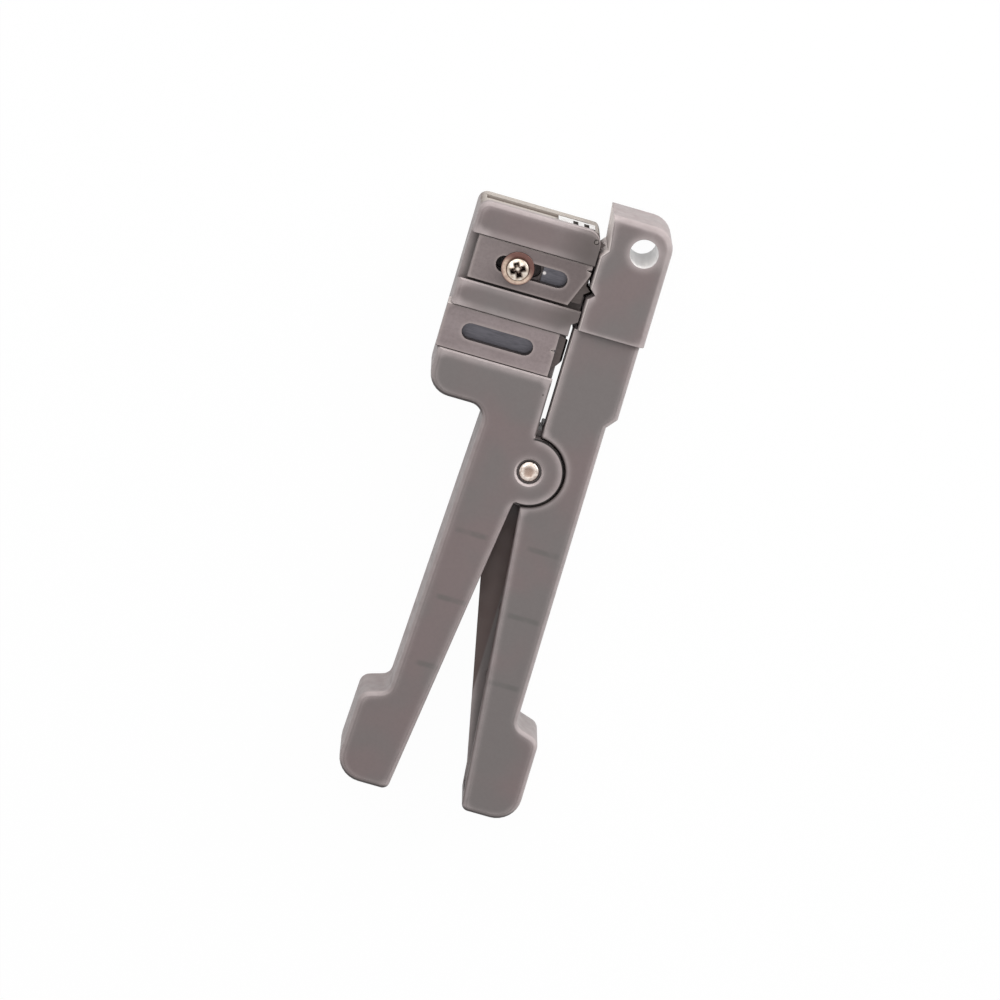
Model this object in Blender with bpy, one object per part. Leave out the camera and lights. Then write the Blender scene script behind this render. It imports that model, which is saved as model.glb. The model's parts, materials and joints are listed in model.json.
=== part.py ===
# Coaxial cable stripper: two moulded arms on a pivot, held shut by a torsion spring.
# It lies on its back on the XY plane, jaws towards +Y and the clamp arm on the +X side.
# The arms are drawn round the pivot, and an empty at the end puts the middle of the
# tool's footprint on the origin. Sizes are in millimetres, meshes in metres.

import math

import bmesh
import bpy
from mathutils import Vector

MM = 0.001
ARC_STEP_DEG = 11.0  # turn of one facet on a rounded corner
CUT_PAST = 2.0  # how far a cutter runs past the face that it opens

# Clearances
RUNNING_GAP = 0.3  # between moulded faces that turn on each other
SEAT_GAP = 0.1  # between a fitting and its seat
PIN_PLAY = 0.1  # radial play of a pin or a screw in its hole

# Both arms
THICKNESS = 18.5
EDGE_EASE = 1.2  # rounding of the outer edges
EASE_STEPS = 3
EDGE_BREAK = 0.35  # share of that rounding on the edges that only lose their sharpness
SEAM_X = -0.41  # the arms meet on a line this far from the pivot
OUTER_OFFSET = 12.95  # outer edge of a handle from the pivot
HANDLE_END_Y = -74.8
HOOK_REACH = 5.7
HOOK_ROOT_Y = -54.0
HOOK_DROP = 1.8  # the hook's top slopes down by this much to its tip
HOOK_ROOT_RADIUS = 2.2
HOOK_TIP_RADIUS = 2.4
HOOK_HEEL_RADIUS = 5.5
TOE_RADIUS = 1.6
CHEEK = 3.2  # front and back walls of a handle
WEB = 3.0  # outer wall of a handle
CROSS_RIB = 1.4
CROSS_RIB_FIRST_Y = -16.0
CROSS_RIB_PITCH = 15.0
CROSS_RIBS = 3

# Blade arm
BLADE_OUTER_LEAN = 2.3  # degrees from the jaw line
BLADE_INNER_LEAN = 7.0
JAW_LEFT = -25.9
JAW_TOP = 52.95
JAW_FACE_UPPER = 0.8
JAW_FACE_MIDDLE = -0.4  # of the rib between the bays
JAW_FACE_LOWER = -0.85
JAW_FACE_STEP_Y = 32.7
JAW_FACE_SLOPE = 0.9
JAW_UNDERSIDE = 10.7
JAW_CORNER_RADIUS = 2.4
JAW_TIP_RADIUS = 3.0
JAW_HEEL_RADIUS = 5.0
NECK_RADIUS = 3.2
FRONT_WALL = 3.0  # wall left standing in front of the top shelf
SHELF_DROP = 0.7
SHELF_RIM = 4.5  # back edge of the shelf, behind its groove
SHELF_GROOVE_DEPTH = 2.0
SHELF_CORNER_RADIUS = 1.9
CORE_WALL = 3.0  # walls round the pockets that core the backs
CORE_DEPTH = 9.5
CORE_RADIUS = 2.0

# Clamp arm
CLAMP_INNER_LEAN = -5.5
CLAMP_OUTER_LEAN = 0.0
JAW_GAP_UPPER = 0.35
JAW_GAP_LOWER = 1.3
JAW_LIP = 6.0  # front of the clamp arm's jaw, which is relieved behind it
JAW_RELIEF = 1.0
RELIEF_LAND = 1.0
HEAD_TOP = 57.5
HEAD_RIGHT = 15.7
HEAD_LINE_Y = 32.0  # the head's front stands proud above this line
HEAD_PROUD = 0.8
HEAD_EASE = 1.8  # rounding of the head's front edges
HEAD_CORNER_RADIUS = 5.0
HEAD_INNER_TOP_X = 1.6
HEAD_INNER_LOW_X = 2.4
HEAD_INNER_LOW_Y = 50.0
V_BLOCK_TOP_Y = 48.5
SHOULDER_RIGHT = 14.85
SHOULDER_Y = 15.6
SHOULDER_FALL = 2.3
HANG_HOLE = (10.0, 51.4)
HANG_HOLE_RADIUS = 3.05
V_DEPTH = 1.55
V_HALF_MOUTH = 1.4
V_BELOW_CENTRE = 1.1  # the notch from the middle of the upper cassette

# Pivot: the blade arm's two ears hold the clamp arm's tongue
EAR_RADIUS = 7.2
EAR_THICKNESS = 4.45
EAR_GAP = 0.5
TONGUE_RADIUS = 8.4
TONGUE_GAP = 0.5
PLATE_LEAN = -12.14  # free edge of the guard plate between the handles
PLATE_THICKNESS = 3.0
PIN_RADIUS = 1.95
PIN_HEAD_RADIUS = 2.15
PIN_HEAD_HEIGHT = 1.1
PIN_HEAD_SUNK = 0.4
PIN_HEAD_EDGE = 0.35
PIN_DIMPLE = 0.3
PIN_CHAMFER = 0.3
PIN_SINK_GAP = 0.5
PIN_SINK_CHAMFER = 0.45
BUSH_WALL = 1.05
RETAINER_RADIUS = 3.7
RETAINER_THICKNESS = 0.45
RETAINER_TEETH = 6
RETAINER_SLIT = 0.6
PIVOT_WASHER_RADIUS = 4.0
PIVOT_WASHER_THICKNESS = 0.5
BACK_SINK_DEPTH = 1.45
BACK_SINK_GAP = 0.6

# Torsion spring
SPRING_RADIUS = 4.2
WIRE_RADIUS = 0.5
SPRING_TURNS = 6.5
SPRING_STEPS = 14
SPRING_LEG = 13.0
SPRING_LEG_LEAN = 4.0
SPRING_PLAY = 0.6
EAR_RECESS = 1.15
TONGUE_FLOOR = 1.45

# Bays and cassettes
RIB_TOP = 7.1
RIB_MIDDLE = 5.9
CASSETTE_HEIGHT = 9.3
CASSETTE_THICKNESS = 3.7
CASSETTE_RECESS = 0.4
PLAY_ABOVE = 0.1
UPPER_PLAY_BELOW = 0.45
LOWER_PLAY_BELOW = 0.12
DOVETAIL = 12.0  # degrees
BAY_CHAMFER_ABOVE = 0.15
BAY_CHAMFER_BELOW = 0.4
FLOOR_DIP = 2.0  # hollow of the upper bay's floor under the slot
SLOT_LENGTH = 15.5
SLOT_WIDTH = 3.6
UPPER_END_GAP = 0.25  # from a cassette's nose back to the jaw's face
UPPER_NOSE = 4.3  # from the slot to the end of the nose
UPPER_TAIL = 4.9
UPPER_MARK = 3.5  # height of the mark over the middle of the cassette
LOWER_END_GAP = 1.2
LOWER_NOSE = 4.55
LOWER_TAIL = 4.35
LOWER_MARK = 0.85
NOSE_SLANT_RISE = 2.6  # the upper nose slants back below this height
NOSE_SLANT_BACK = 2.85
MARK_DEPTH = 1.1
MARK_WIDTH = 0.7

# Blades
BLADE_THICKNESS = 0.6
BLADE_POCKET_PLAY = 0.15
BLADE_EDGE = 0.45  # width of the ground bevel
BLADE_SIDE_GAP = 0.35
UPPER_BLADE_LENGTH = 9.55
BLADE_PAST_SLOT = 1.1
TIP_CLEARANCE = 0.35
TIP_HALF_ANGLE = 39.0
LOWER_EDGE_CLEARANCE = 0.35
LOWER_EDGE_BELOW = 1.2
LOWER_EDGE_ABOVE = 3.4
PEG_RADIUS = 0.6
PEG_PITCH = 4.4
PEG_FROM_NOSE = 2.2

# Clamp and lock screws
SCREW_X = -14.5
SCREW_RADIUS = 1.45
SCREW_POINT = 0.35  # chamfer of the tip
SCREW_HEAD_RADIUS = 2.5
SCREW_HEAD_HEIGHT = 1.7
RECESS_WIDTH = 0.9
RECESS_REACH = 1.65
RECESS_DEPTH = 1.3
RECESS_TURN = 29.0  # degrees, as the screw was last left
WASHER_RADIUS = 3.5
WASHER_THICKNESS = 0.6
NUT_ACROSS_FLATS = 5.5
NUT_HEIGHT = 2.4
NUT_SEAT_Z = 10.6
BOSS_RADIUS = 4.9
LOCK_SINK_GAP = 0.4
LOCK_SINK_DEPTH = 2.3

# Top blade, the clip behind it and their pins
TOP_BLADE_LEFT = -9.8
TOP_BLADE_LOW = 48.3
TOP_BLADE_HIGH = 52.2
TOP_TIP = (1.95, 50.35)
TOP_TIP_ROOT = 1.5
TOP_SLOT_WIDTH = 1.9
TOP_SLOT_CLEARANCE = 0.3
CLIP_LEFT = -9.0
CLIP_RIGHT = -1.0
CLIP_PLATE = 0.5
CLIP_DEPTH = 5.5
CLIP_NOTCHES = (-5.25, -2.85)
CLIP_NOTCH_WIDTH = 1.1
CLIP_NOTCH_DEPTH = 3.9
BLADE_PIN_RADIUS = 0.5
BLADE_PIN_REACH = 2.2
BLADE_PINS = {"blade_pin_inner": (-7.4, 50.0), "blade_pin_middle": (-3.0, 50.0)}
CORNER_PIN = (-0.25, 50.95)

PLASTIC = ((0.205, 0.178, 0.171), 0.45, 0.0)
CASSETTE_PLASTIC = ((0.235, 0.205, 0.2), 0.5, 0.0)
BLUED_STEEL = ((0.09, 0.092, 0.105), 0.35, 1.0)
NICKEL = ((0.72, 0.68, 0.62), 0.25, 1.0)
BRIGHT_STEEL = ((0.75, 0.75, 0.75), 0.2, 1.0)
SPRING_STEEL = ((0.45, 0.45, 0.46), 0.3, 1.0)
BRASS = ((0.75, 0.55, 0.25), 0.35, 1.0)


# Plane geometry


def on_line(offset, lean, y):
    """x at height y on a line offset from the pivot, its lower end leaning to -x."""
    lean = math.radians(lean)
    return offset / math.cos(lean) + y * math.tan(lean)


def line_meets_circle(offset, lean, radius):
    """Where the same line leaves a circle round the pivot, on its way down."""
    lean = math.radians(lean)
    along = math.sqrt(radius**2 - offset**2)
    return (
        offset * math.cos(lean) - along * math.sin(lean),
        -offset * math.sin(lean) - along * math.cos(lean),
    )


def arc(radius, start, end, soft=0.0):
    """Corners along an arc round the pivot, between two angles in radians."""
    steps = max(2, round(abs(math.degrees(end - start)) / ARC_STEP_DEG * 2))
    turns = (start + (end - start) * k / steps for k in range(steps + 1))
    return [(radius * math.cos(a), radius * math.sin(a), 0.0, soft) for a in turns]


def rounded(corners):
    """Points of an outline from corners (x, y, radius, softness of the edge that follows)."""
    points, soft = [], []
    for i, (x, y, radius, edge_soft) in enumerate(corners):
        before, after = corners[i - 1], corners[(i + 1) % len(corners)]
        here = Vector((x, y))
        if not radius:
            points.append(here)
            soft.append(edge_soft)
            continue
        back = (Vector(before[:2]) - here).normalized()
        on = (Vector(after[:2]) - here).normalized()
        half = back.angle(on) / 2
        centre = here + (back + on).normalized() * radius / math.sin(half)
        start = here + back * radius / math.tan(half) - centre
        end = here + on * radius / math.tan(half) - centre
        sweep = -start.angle_signed(end)
        steps = max(2, round(abs(math.degrees(sweep)) / ARC_STEP_DEG))
        for k in range(steps + 1):
            turn = sweep * k / steps
            points.append(
                centre
                + Vector(
                    (
                        start.x * math.cos(turn) - start.y * math.sin(turn),
                        start.x * math.sin(turn) + start.y * math.cos(turn),
                    )
                )
            )
            share = min(1.0, (k + 0.5) / steps)
            last = k == steps
            soft.append(edge_soft if last else before[3] + (edge_soft - before[3]) * share)
    return points, soft


def inset(points, soft, distance):
    """The outline with each edge moved inwards by distance times its softness."""
    moved = []
    for i, here in enumerate(points):
        into = (here - points[i - 1]).normalized()
        out = (points[(i + 1) % len(points)] - here).normalized()
        first, second = Vector((-into.y, into.x)), Vector((-out.y, out.x))
        far, near = distance * soft[i - 1], distance * soft[i]
        turn = first.x * second.y - first.y * second.x
        if abs(turn) < 0.05:
            moved.append(here + (first + second).normalized() * (far + near) / 2)
            continue
        moved.append(
            here
            + Vector(
                (
                    (far * second.y - near * first.y) / turn,
                    (near * first.x - far * second.x) / turn,
                )
            )
        )
    return moved


# Meshes


def make_object(name, mesh, finish):
    mesh.shade_smooth()
    mesh.set_sharp_from_angle(angle=math.radians(35))
    obj = bpy.data.objects.new(name, mesh)
    bpy.context.scene.collection.objects.link(obj)
    if finish:
        colour, roughness, metallic = finish
        material = bpy.data.materials.new(name + "_finish")
        material.use_nodes = True
        shader = material.node_tree.nodes["Principled BSDF"]
        shader.inputs["Base Color"].default_value = (*colour, 1.0)
        shader.inputs["Roughness"].default_value = roughness
        shader.inputs["Metallic"].default_value = metallic
        obj.data.materials.append(material)
    return obj


def loft(name, rings, finish=None):
    """Closed solid through rings of as many points each, listed from the lowest up."""
    mesh = bmesh.new()
    layers = [[mesh.verts.new(Vector(p) * MM) for p in ring] for ring in rings]
    mesh.faces.new(reversed(layers[0]))
    mesh.faces.new(layers[-1])
    for low, high in zip(layers, layers[1:]):
        for k in range(len(low)):
            n = (k + 1) % len(low)
            mesh.faces.new((low[k], low[n], high[n], high[k]))
    bmesh.ops.recalc_face_normals(mesh, faces=mesh.faces)
    data = bpy.data.meshes.new(name)
    mesh.to_mesh(data)
    mesh.free()
    return make_object(name, data, finish)


def prism(name, points, low, high, finish=None):
    rings = [[(x, y, z) for x, y in points] for z in (low, high)]
    return loft(name, rings, finish)


def eased_prism(name, corners, low, high, finish=None, front_ease=EDGE_EASE):
    """Prism whose soft edges are rounded over at the back and at the front."""
    points, soft = rounded(corners)
    steps = [math.radians(90 * k / EASE_STEPS) for k in range(EASE_STEPS + 1)]
    stack = []
    for start, side, ease, turns in (
        (low, 1, EDGE_EASE, steps),
        (high, -1, front_ease, steps[::-1]),
    ):
        for turn in turns:
            ring = inset(points, soft, ease * (1 - math.sin(turn)))
            z = start + side * ease * (1 - math.cos(turn))
            stack.append([(x, y, z) for x, y in ring])
    return loft(name, stack, finish)


def box(name, low, high):
    (x0, y0, z0), (x1, y1, z1) = low, high
    return prism(name, [(x0, y0), (x1, y0), (x1, y1), (x0, y1)], z0, z1)


def along_x(name, section, left, right, finish=None):
    """Prism along X of a section given as (y, z) points."""
    rings = [[(x, y, z) for y, z in section] for x in (left, right)]
    return loft(name, rings, finish)


def circle(radius, segments=32, centre=(0.0, 0.0), turn=0.0):
    steps = [turn + 2 * math.pi * k / segments for k in range(segments)]
    cx, cy = centre
    return [(cx + radius * math.cos(a), cy + radius * math.sin(a)) for a in steps]


def cylinder(name, radius, low, high, centre=(0.0, 0.0), segments=32):
    return prism(name, circle(radius, segments, centre), low, high)


def hexagon(across_flats, centre):
    return circle(across_flats / math.sqrt(3), 6, centre, math.radians(30))


def obround(length, width, centre):
    cx, cy = centre
    reach, radius = (length - width) / 2, width / 2
    points = []
    for side, start in ((1, -90), (-1, 90)):
        for k in range(9):
            a = math.radians(start + 22.5 * k)
            points.append((cx + side * reach + radius * math.cos(a), cy + radius * math.sin(a)))
    return points


def turned(name, profile, finish=None, segments=32):
    """Solid turned round Z from (radius, z) points, listed up the outside first.

    A profile that starts on the axis is closed there, and any other is a ring.
    """
    mesh = bmesh.new()
    layers = []
    for radius, z in profile:
        if radius == 0:
            layers.append([mesh.verts.new((0, 0, z * MM))])
        else:
            ring = circle(radius * MM, segments)
            layers.append([mesh.verts.new((x, y, z * MM)) for x, y in ring])
    pairs = list(zip(layers, layers[1:]))
    if profile[0][0] != 0:
        pairs.append((layers[-1], layers[0]))
    for low, high in pairs:
        for k in range(segments):
            n = (k + 1) % segments
            corners = [low[k % len(low)], low[n % len(low)]]
            corners += [high[n % len(high)], high[k % len(high)]]
            mesh.faces.new(dict.fromkeys(corners))
    bmesh.ops.recalc_face_normals(mesh, faces=mesh.faces)
    data = bpy.data.meshes.new(name)
    mesh.to_mesh(data)
    mesh.free()
    return make_object(name, data, finish)


def at(obj, x, y, z=0.0):
    obj.location = Vector((x, y, z)) * MM
    return obj


def combine(body, other, operation):
    modifier = body.modifiers.new(other.name, "BOOLEAN")
    modifier.operation = operation
    modifier.solver = "EXACT"
    modifier.object = other
    other.parent = body
    other.hide_render = True
    other.display_type = "WIRE"


def cut(body, *cutters):
    for cutter in cutters:
        combine(body, cutter, "DIFFERENCE")


def fuse(body, *pieces):
    for piece in pieces:
        combine(body, piece, "UNION")


# Places that several pieces share

TONGUE_BACK = EAR_THICKNESS + RUNNING_GAP
TONGUE_FRONT = THICKNESS - TONGUE_BACK
CLAMP_FACE_UPPER = JAW_FACE_UPPER + JAW_GAP_UPPER
CLAMP_FACE_LOWER = JAW_FACE_LOWER + JAW_GAP_LOWER
PLATE_BACK = (THICKNESS - PLATE_THICKNESS) / 2
PLATE_FRONT = (THICKNESS + PLATE_THICKNESS) / 2
CASSETTE_FRONT = THICKNESS - CASSETTE_RECESS
CASSETTE_BACK = CASSETTE_FRONT - CASSETTE_THICKNESS
BAY_FLOOR = CASSETTE_BACK - SEAT_GAP
UPPER_BAY_HEIGHT = PLAY_ABOVE + CASSETTE_HEIGHT + UPPER_PLAY_BELOW
LOWER_BAY_HEIGHT = PLAY_ABOVE + CASSETTE_HEIGHT + LOWER_PLAY_BELOW
UPPER_BAY_TOP = JAW_TOP - RIB_TOP
LOWER_BAY_TOP = UPPER_BAY_TOP - UPPER_BAY_HEIGHT - RIB_MIDDLE
UPPER_Y = UPPER_BAY_TOP - PLAY_ABOVE - CASSETTE_HEIGHT / 2
LOWER_Y = LOWER_BAY_TOP - PLAY_ABOVE - CASSETTE_HEIGHT / 2
UPPER_RIGHT = JAW_FACE_UPPER - UPPER_END_GAP
UPPER_SLOT_LEFT = UPPER_RIGHT - UPPER_NOSE - SLOT_LENGTH
UPPER_LEFT = UPPER_SLOT_LEFT - UPPER_TAIL
UPPER_BLADE_ROOT = JAW_FACE_UPPER - BLADE_SIDE_GAP
UPPER_BLADE_LEFT = UPPER_BLADE_ROOT - UPPER_BLADE_LENGTH
LOWER_RIGHT = JAW_FACE_LOWER - LOWER_END_GAP
LOWER_SLOT_LEFT = LOWER_RIGHT - LOWER_NOSE - SLOT_LENGTH
LOWER_LEFT = LOWER_SLOT_LEFT - LOWER_TAIL
V_Y = UPPER_Y - V_BELOW_CENTRE
TIP_X = CLAMP_FACE_UPPER + V_DEPTH - TIP_CLEARANCE
BLADE_BACK = CASSETTE_BACK + BLADE_POCKET_PLAY / 2
BLADE_FRONT = BLADE_BACK + BLADE_THICKNESS
BORE_RADIUS = PIN_RADIUS + PIN_PLAY
BUSH_RADIUS = BORE_RADIUS + BUSH_WALL
COIL_BACK = EAR_THICKNESS - WIRE_RADIUS
COIL_FRONT = TONGUE_FRONT - TONGUE_FLOOR - WIRE_RADIUS - RUNNING_GAP
SHELF_Y = JAW_TOP - SHELF_DROP
TOP_SLOT_FRONT = THICKNESS - FRONT_WALL
TOP_BLADE_FRONT = TOP_SLOT_FRONT - SEAT_GAP
TOP_BLADE_BACK = TOP_BLADE_FRONT - BLADE_THICKNESS
CLIP_FRONT = TOP_BLADE_BACK - SEAT_GAP
CLIP_LEG = TOP_SLOT_WIDTH - BLADE_THICKNESS - 3 * SEAT_GAP
CLIP_BACK = CLIP_FRONT - CLIP_DEPTH


# Arms


def handle_corners(outer, inner, side):
    """Corners of a handle's hook and toe, from the hook's root to the toe."""
    root, end = outer(HOOK_ROOT_Y), outer(HANDLE_END_Y)
    tip_y = HOOK_ROOT_Y - HOOK_DROP
    return [
        (root, HOOK_ROOT_Y, HOOK_ROOT_RADIUS, 1.0),
        (outer(tip_y) + side * HOOK_REACH, tip_y, HOOK_TIP_RADIUS, 1.0),
        (end + side * HOOK_REACH, HANDLE_END_Y, HOOK_HEEL_RADIUS, 1.0),
        (inner(HANDLE_END_Y), HANDLE_END_Y, TOE_RADIUS, 1.0),
    ]


def reversed_corners(corners):
    """The same corners walked the other way, with each edge keeping its softness."""
    back = corners[::-1]
    following = [corner[3] for corner in back[1:]] + [back[-1][3]]
    return [(x, y, radius, soft) for (x, y, radius, _), soft in zip(back, following)]


def handle_cells(name, outer, inner_x, side, top):
    """Cutters that hollow a handle between its cross ribs, open on its inner side."""
    edges = [top]
    for k in range(CROSS_RIBS):
        middle = CROSS_RIB_FIRST_Y - k * CROSS_RIB_PITCH
        edges += [middle + CROSS_RIB / 2, middle - CROSS_RIB / 2]
    edges.append(HANDLE_END_Y + WEB)
    cells = []
    for k in range(0, len(edges), 2):
        high, low = edges[k], edges[k + 1]
        wall = [(outer(low) - side * WEB, low), (outer(high) - side * WEB, high)]
        if k == len(edges) - 2:
            hook = HOOK_ROOT_Y - HOOK_DROP - WEB
            reach = HOOK_REACH
            wall = [
                (outer(low) + side * (reach - WEB), low + HOOK_HEEL_RADIUS / 2),
                (outer(hook) + side * (reach - WEB), hook),
                (outer(hook) - side * WEB, hook),
                wall[1],
            ]
            wall.insert(0, (outer(low) + side * (reach - WEB - HOOK_HEEL_RADIUS / 2), low))
        points = [(inner_x, high), (inner_x, low)] + wall
        if side < 0:
            points.reverse()
        cells.append(prism(f"{name}_cell_{k // 2}", points, CHEEK, THICKNESS - CHEEK))
    return cells


def bay(name, top, height):
    """Dovetail cutter for one bay, from the jaw's left side to its face."""
    undercut = math.tan(math.radians(DOVETAIL))
    bottom = top - height
    deep = (THICKNESS - BAY_FLOOR) * undercut
    above, below = BAY_CHAMFER_ABOVE, BAY_CHAMFER_BELOW
    section = [
        (bottom - deep, BAY_FLOOR),
        (top + deep, BAY_FLOOR),
        (top + above * undercut, THICKNESS - above),
        (top + above, THICKNESS),
        (top + above, THICKNESS + CUT_PAST),
        (bottom - below, THICKNESS + CUT_PAST),
        (bottom - below, THICKNESS),
        (bottom - below * undercut, THICKNESS - below),
    ]
    return along_x(name, section, JAW_LEFT - CUT_PAST, JAW_FACE_UPPER + CUT_PAST)


def shelf_corner():
    """Cutter that rounds the shelf's far left corner."""
    radius, past = SHELF_CORNER_RADIUS, CUT_PAST
    points = []
    for k in range(7):
        turn = math.radians(90 + 15 * k)
        points.append(
            (
                JAW_LEFT + radius * (1 + math.cos(turn)),
                SHELF_Y - radius * (1 - math.sin(turn)),
            )
        )
    points.append((JAW_LEFT - past, SHELF_Y - radius))
    points.append((JAW_LEFT - past, SHELF_Y + past / 2))
    points.append((JAW_LEFT + radius, SHELF_Y + past / 2))
    return prism("shelf_corner", points, -past, TOP_SLOT_FRONT)


def tip_corner_x(y):
    """Where the jaw's rounded top corner stands at a height."""
    rise = y - JAW_TOP + JAW_TIP_RADIUS
    return JAW_FACE_UPPER - JAW_TIP_RADIUS + math.sqrt(JAW_TIP_RADIUS**2 - rise**2)


def core_pocket(name, left, right, low, high):
    corners = [(left, low), (right, low), (right, high), (left, high)]
    points, _ = rounded([(x, y, CORE_RADIUS, 0.0) for x, y in corners])
    return prism(name, points, -CUT_PAST, CORE_DEPTH)


def blade_arm():
    def outer(y):
        return on_line(-OUTER_OFFSET, BLADE_OUTER_LEAN, y)

    def inner(y):
        return on_line(SEAM_X, BLADE_INNER_LEAN, y)

    leave = line_meets_circle(SEAM_X, BLADE_INNER_LEAN, EAR_RADIUS)
    soft_from = leave[1] - 2 * EDGE_EASE
    top_turn = math.acos(JAW_FACE_LOWER / EAR_RADIUS)
    corners = [
        (JAW_LEFT, JAW_TOP, JAW_CORNER_RADIUS, 1.0),
        (JAW_LEFT, JAW_UNDERSIDE, JAW_HEEL_RADIUS, 1.0),
        (outer(JAW_UNDERSIDE), JAW_UNDERSIDE, NECK_RADIUS, 1.0),
        *handle_corners(outer, inner, -1),
        (inner(soft_from), soft_from, 0.0, 0.0),
        *arc(EAR_RADIUS, math.atan2(leave[1], leave[0]), top_turn),
        (JAW_FACE_LOWER, LOWER_Y - JAW_FACE_SLOPE, 0.0, 0.0),
        (JAW_FACE_MIDDLE, LOWER_Y, 0.0, 0.0),
        (JAW_FACE_MIDDLE, JAW_FACE_STEP_Y, 0.0, 0.0),
        (JAW_FACE_UPPER, JAW_FACE_STEP_Y + JAW_FACE_SLOPE, 0.0, 0.0),
        (JAW_FACE_UPPER, JAW_TOP, JAW_TIP_RADIUS, 1.0),
    ]
    arm = eased_prism("blade_arm", corners, 0.0, THICKNESS, PLASTIC)

    slot_radius = TONGUE_RADIUS + TONGUE_GAP
    low = HANDLE_END_Y - CUT_PAST
    right = OUTER_OFFSET
    cut(arm, cylinder("tongue_slot", slot_radius, EAR_THICKNESS, THICKNESS - EAR_THICKNESS, segments=48))
    cut(
        arm,
        box(
            "plate_slot",
            (-slot_radius - TONGUE_GAP, low, PLATE_BACK - TONGUE_GAP),
            (right, -slot_radius / 4, PLATE_FRONT + TONGUE_GAP),
        ),
    )
    cut(arm, *handle_cells("blade_handle", outer, right, -1, -EAR_RADIUS - RUNNING_GAP))
    cut(arm, bay("upper_bay", UPPER_BAY_TOP, UPPER_BAY_HEIGHT))
    cut(arm, bay("lower_bay", LOWER_BAY_TOP, LOWER_BAY_HEIGHT))

    # Cored back of the jaw, with a boss for each screw
    middle = LOWER_BAY_TOP + RIB_MIDDLE / 2
    left, face = JAW_LEFT + CORE_WALL, JAW_FACE_LOWER - CORE_WALL
    half_rib = CORE_WALL / 2
    floor_y = JAW_UNDERSIDE + CORE_WALL
    cut(arm, core_pocket("upper_core", left, face, middle + half_rib, SHELF_Y - CORE_WALL * 1.5))
    cut(arm, core_pocket("lower_core", left, face, floor_y, middle - half_rib))
    for name, y in (("upper_boss", UPPER_Y), ("lower_boss", LOWER_Y)):
        fuse(arm, cylinder(name, BOSS_RADIUS, 0.0, CORE_DEPTH + SEAT_GAP, (SCREW_X, y)))

    # Clamp screw: nut pocket from the back. Lock screw: sunk head and nut under the bay floor
    hole = SCREW_RADIUS + PIN_PLAY
    pocket = NUT_ACROSS_FLATS + 2 * SEAT_GAP
    upper, lower = (SCREW_X, UPPER_Y), (SCREW_X, LOWER_Y)
    sink = SCREW_HEAD_RADIUS + LOCK_SINK_GAP
    cut(arm, prism("clamp_nut_pocket", hexagon(pocket, upper), -CUT_PAST, NUT_SEAT_Z))
    past = BAY_FLOOR + CUT_PAST / 4
    cut(arm, cylinder("clamp_screw_hole", hole, NUT_SEAT_Z - CUT_PAST, past, upper))
    cut(arm, cylinder("lock_screw_sink", sink, -CUT_PAST, LOCK_SINK_DEPTH, lower))
    cut(arm, cylinder("lock_screw_hole", hole, LOCK_SINK_DEPTH / 2, past, lower))
    nut_floor = BAY_FLOOR - NUT_HEIGHT - 3 * SEAT_GAP
    cut(arm, prism("lock_nut_pocket", hexagon(pocket, lower), nut_floor, past))
    length = UPPER_BLADE_LEFT - RUNNING_GAP - UPPER_SLOT_LEFT
    dip = obround(length, SLOT_WIDTH - SEAT_GAP, (UPPER_SLOT_LEFT + length / 2, UPPER_Y))
    cut(arm, prism("upper_floor_dip", dip, BAY_FLOOR - FLOOR_DIP, past))

    # Top shelf, the slot for the top blade and its clip, and the holes for their pins
    past = JAW_FACE_UPPER + CUT_PAST
    cut(
        arm,
        box(
            "top_shelf",
            (JAW_LEFT - CUT_PAST, SHELF_Y, -CUT_PAST),
            (past, JAW_TOP + CUT_PAST, TOP_SLOT_FRONT),
        ),
        box(
            "shelf_groove",
            (JAW_LEFT + CORE_WALL / 2, SHELF_Y - SHELF_GROOVE_DEPTH, SHELF_RIM),
            (JAW_FACE_UPPER - CORE_WALL, JAW_TOP, CLIP_BACK - RUNNING_GAP),
        ),
        shelf_corner(),
    )
    cut(
        arm,
        box(
            "top_blade_slot",
            (
                TOP_BLADE_LEFT - TOP_SLOT_CLEARANCE,
                TOP_BLADE_LOW - TOP_SLOT_CLEARANCE,
                TOP_SLOT_FRONT - TOP_SLOT_WIDTH,
            ),
            (past, JAW_TOP + CUT_PAST / 2, TOP_SLOT_FRONT - SEAT_GAP / 4),
        ),
    )
    slot_back = TOP_SLOT_FRONT - TOP_SLOT_WIDTH
    hole = BLADE_PIN_RADIUS + PIN_PLAY / 2
    for name, centre in BLADE_PINS.items():
        low, high = slot_back - BLADE_PIN_REACH, TOP_SLOT_FRONT + BLADE_PIN_REACH / 2
        span = (low - SEAT_GAP, high + SEAT_GAP)
        cut(arm, cylinder(name + "_hole", hole, *span, centre, 16))
    low = slot_back - BLADE_PIN_REACH - SEAT_GAP
    cut(arm, cylinder("corner_pin_hole", hole, low, THICKNESS + CUT_PAST, CORNER_PIN, 16))

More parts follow.
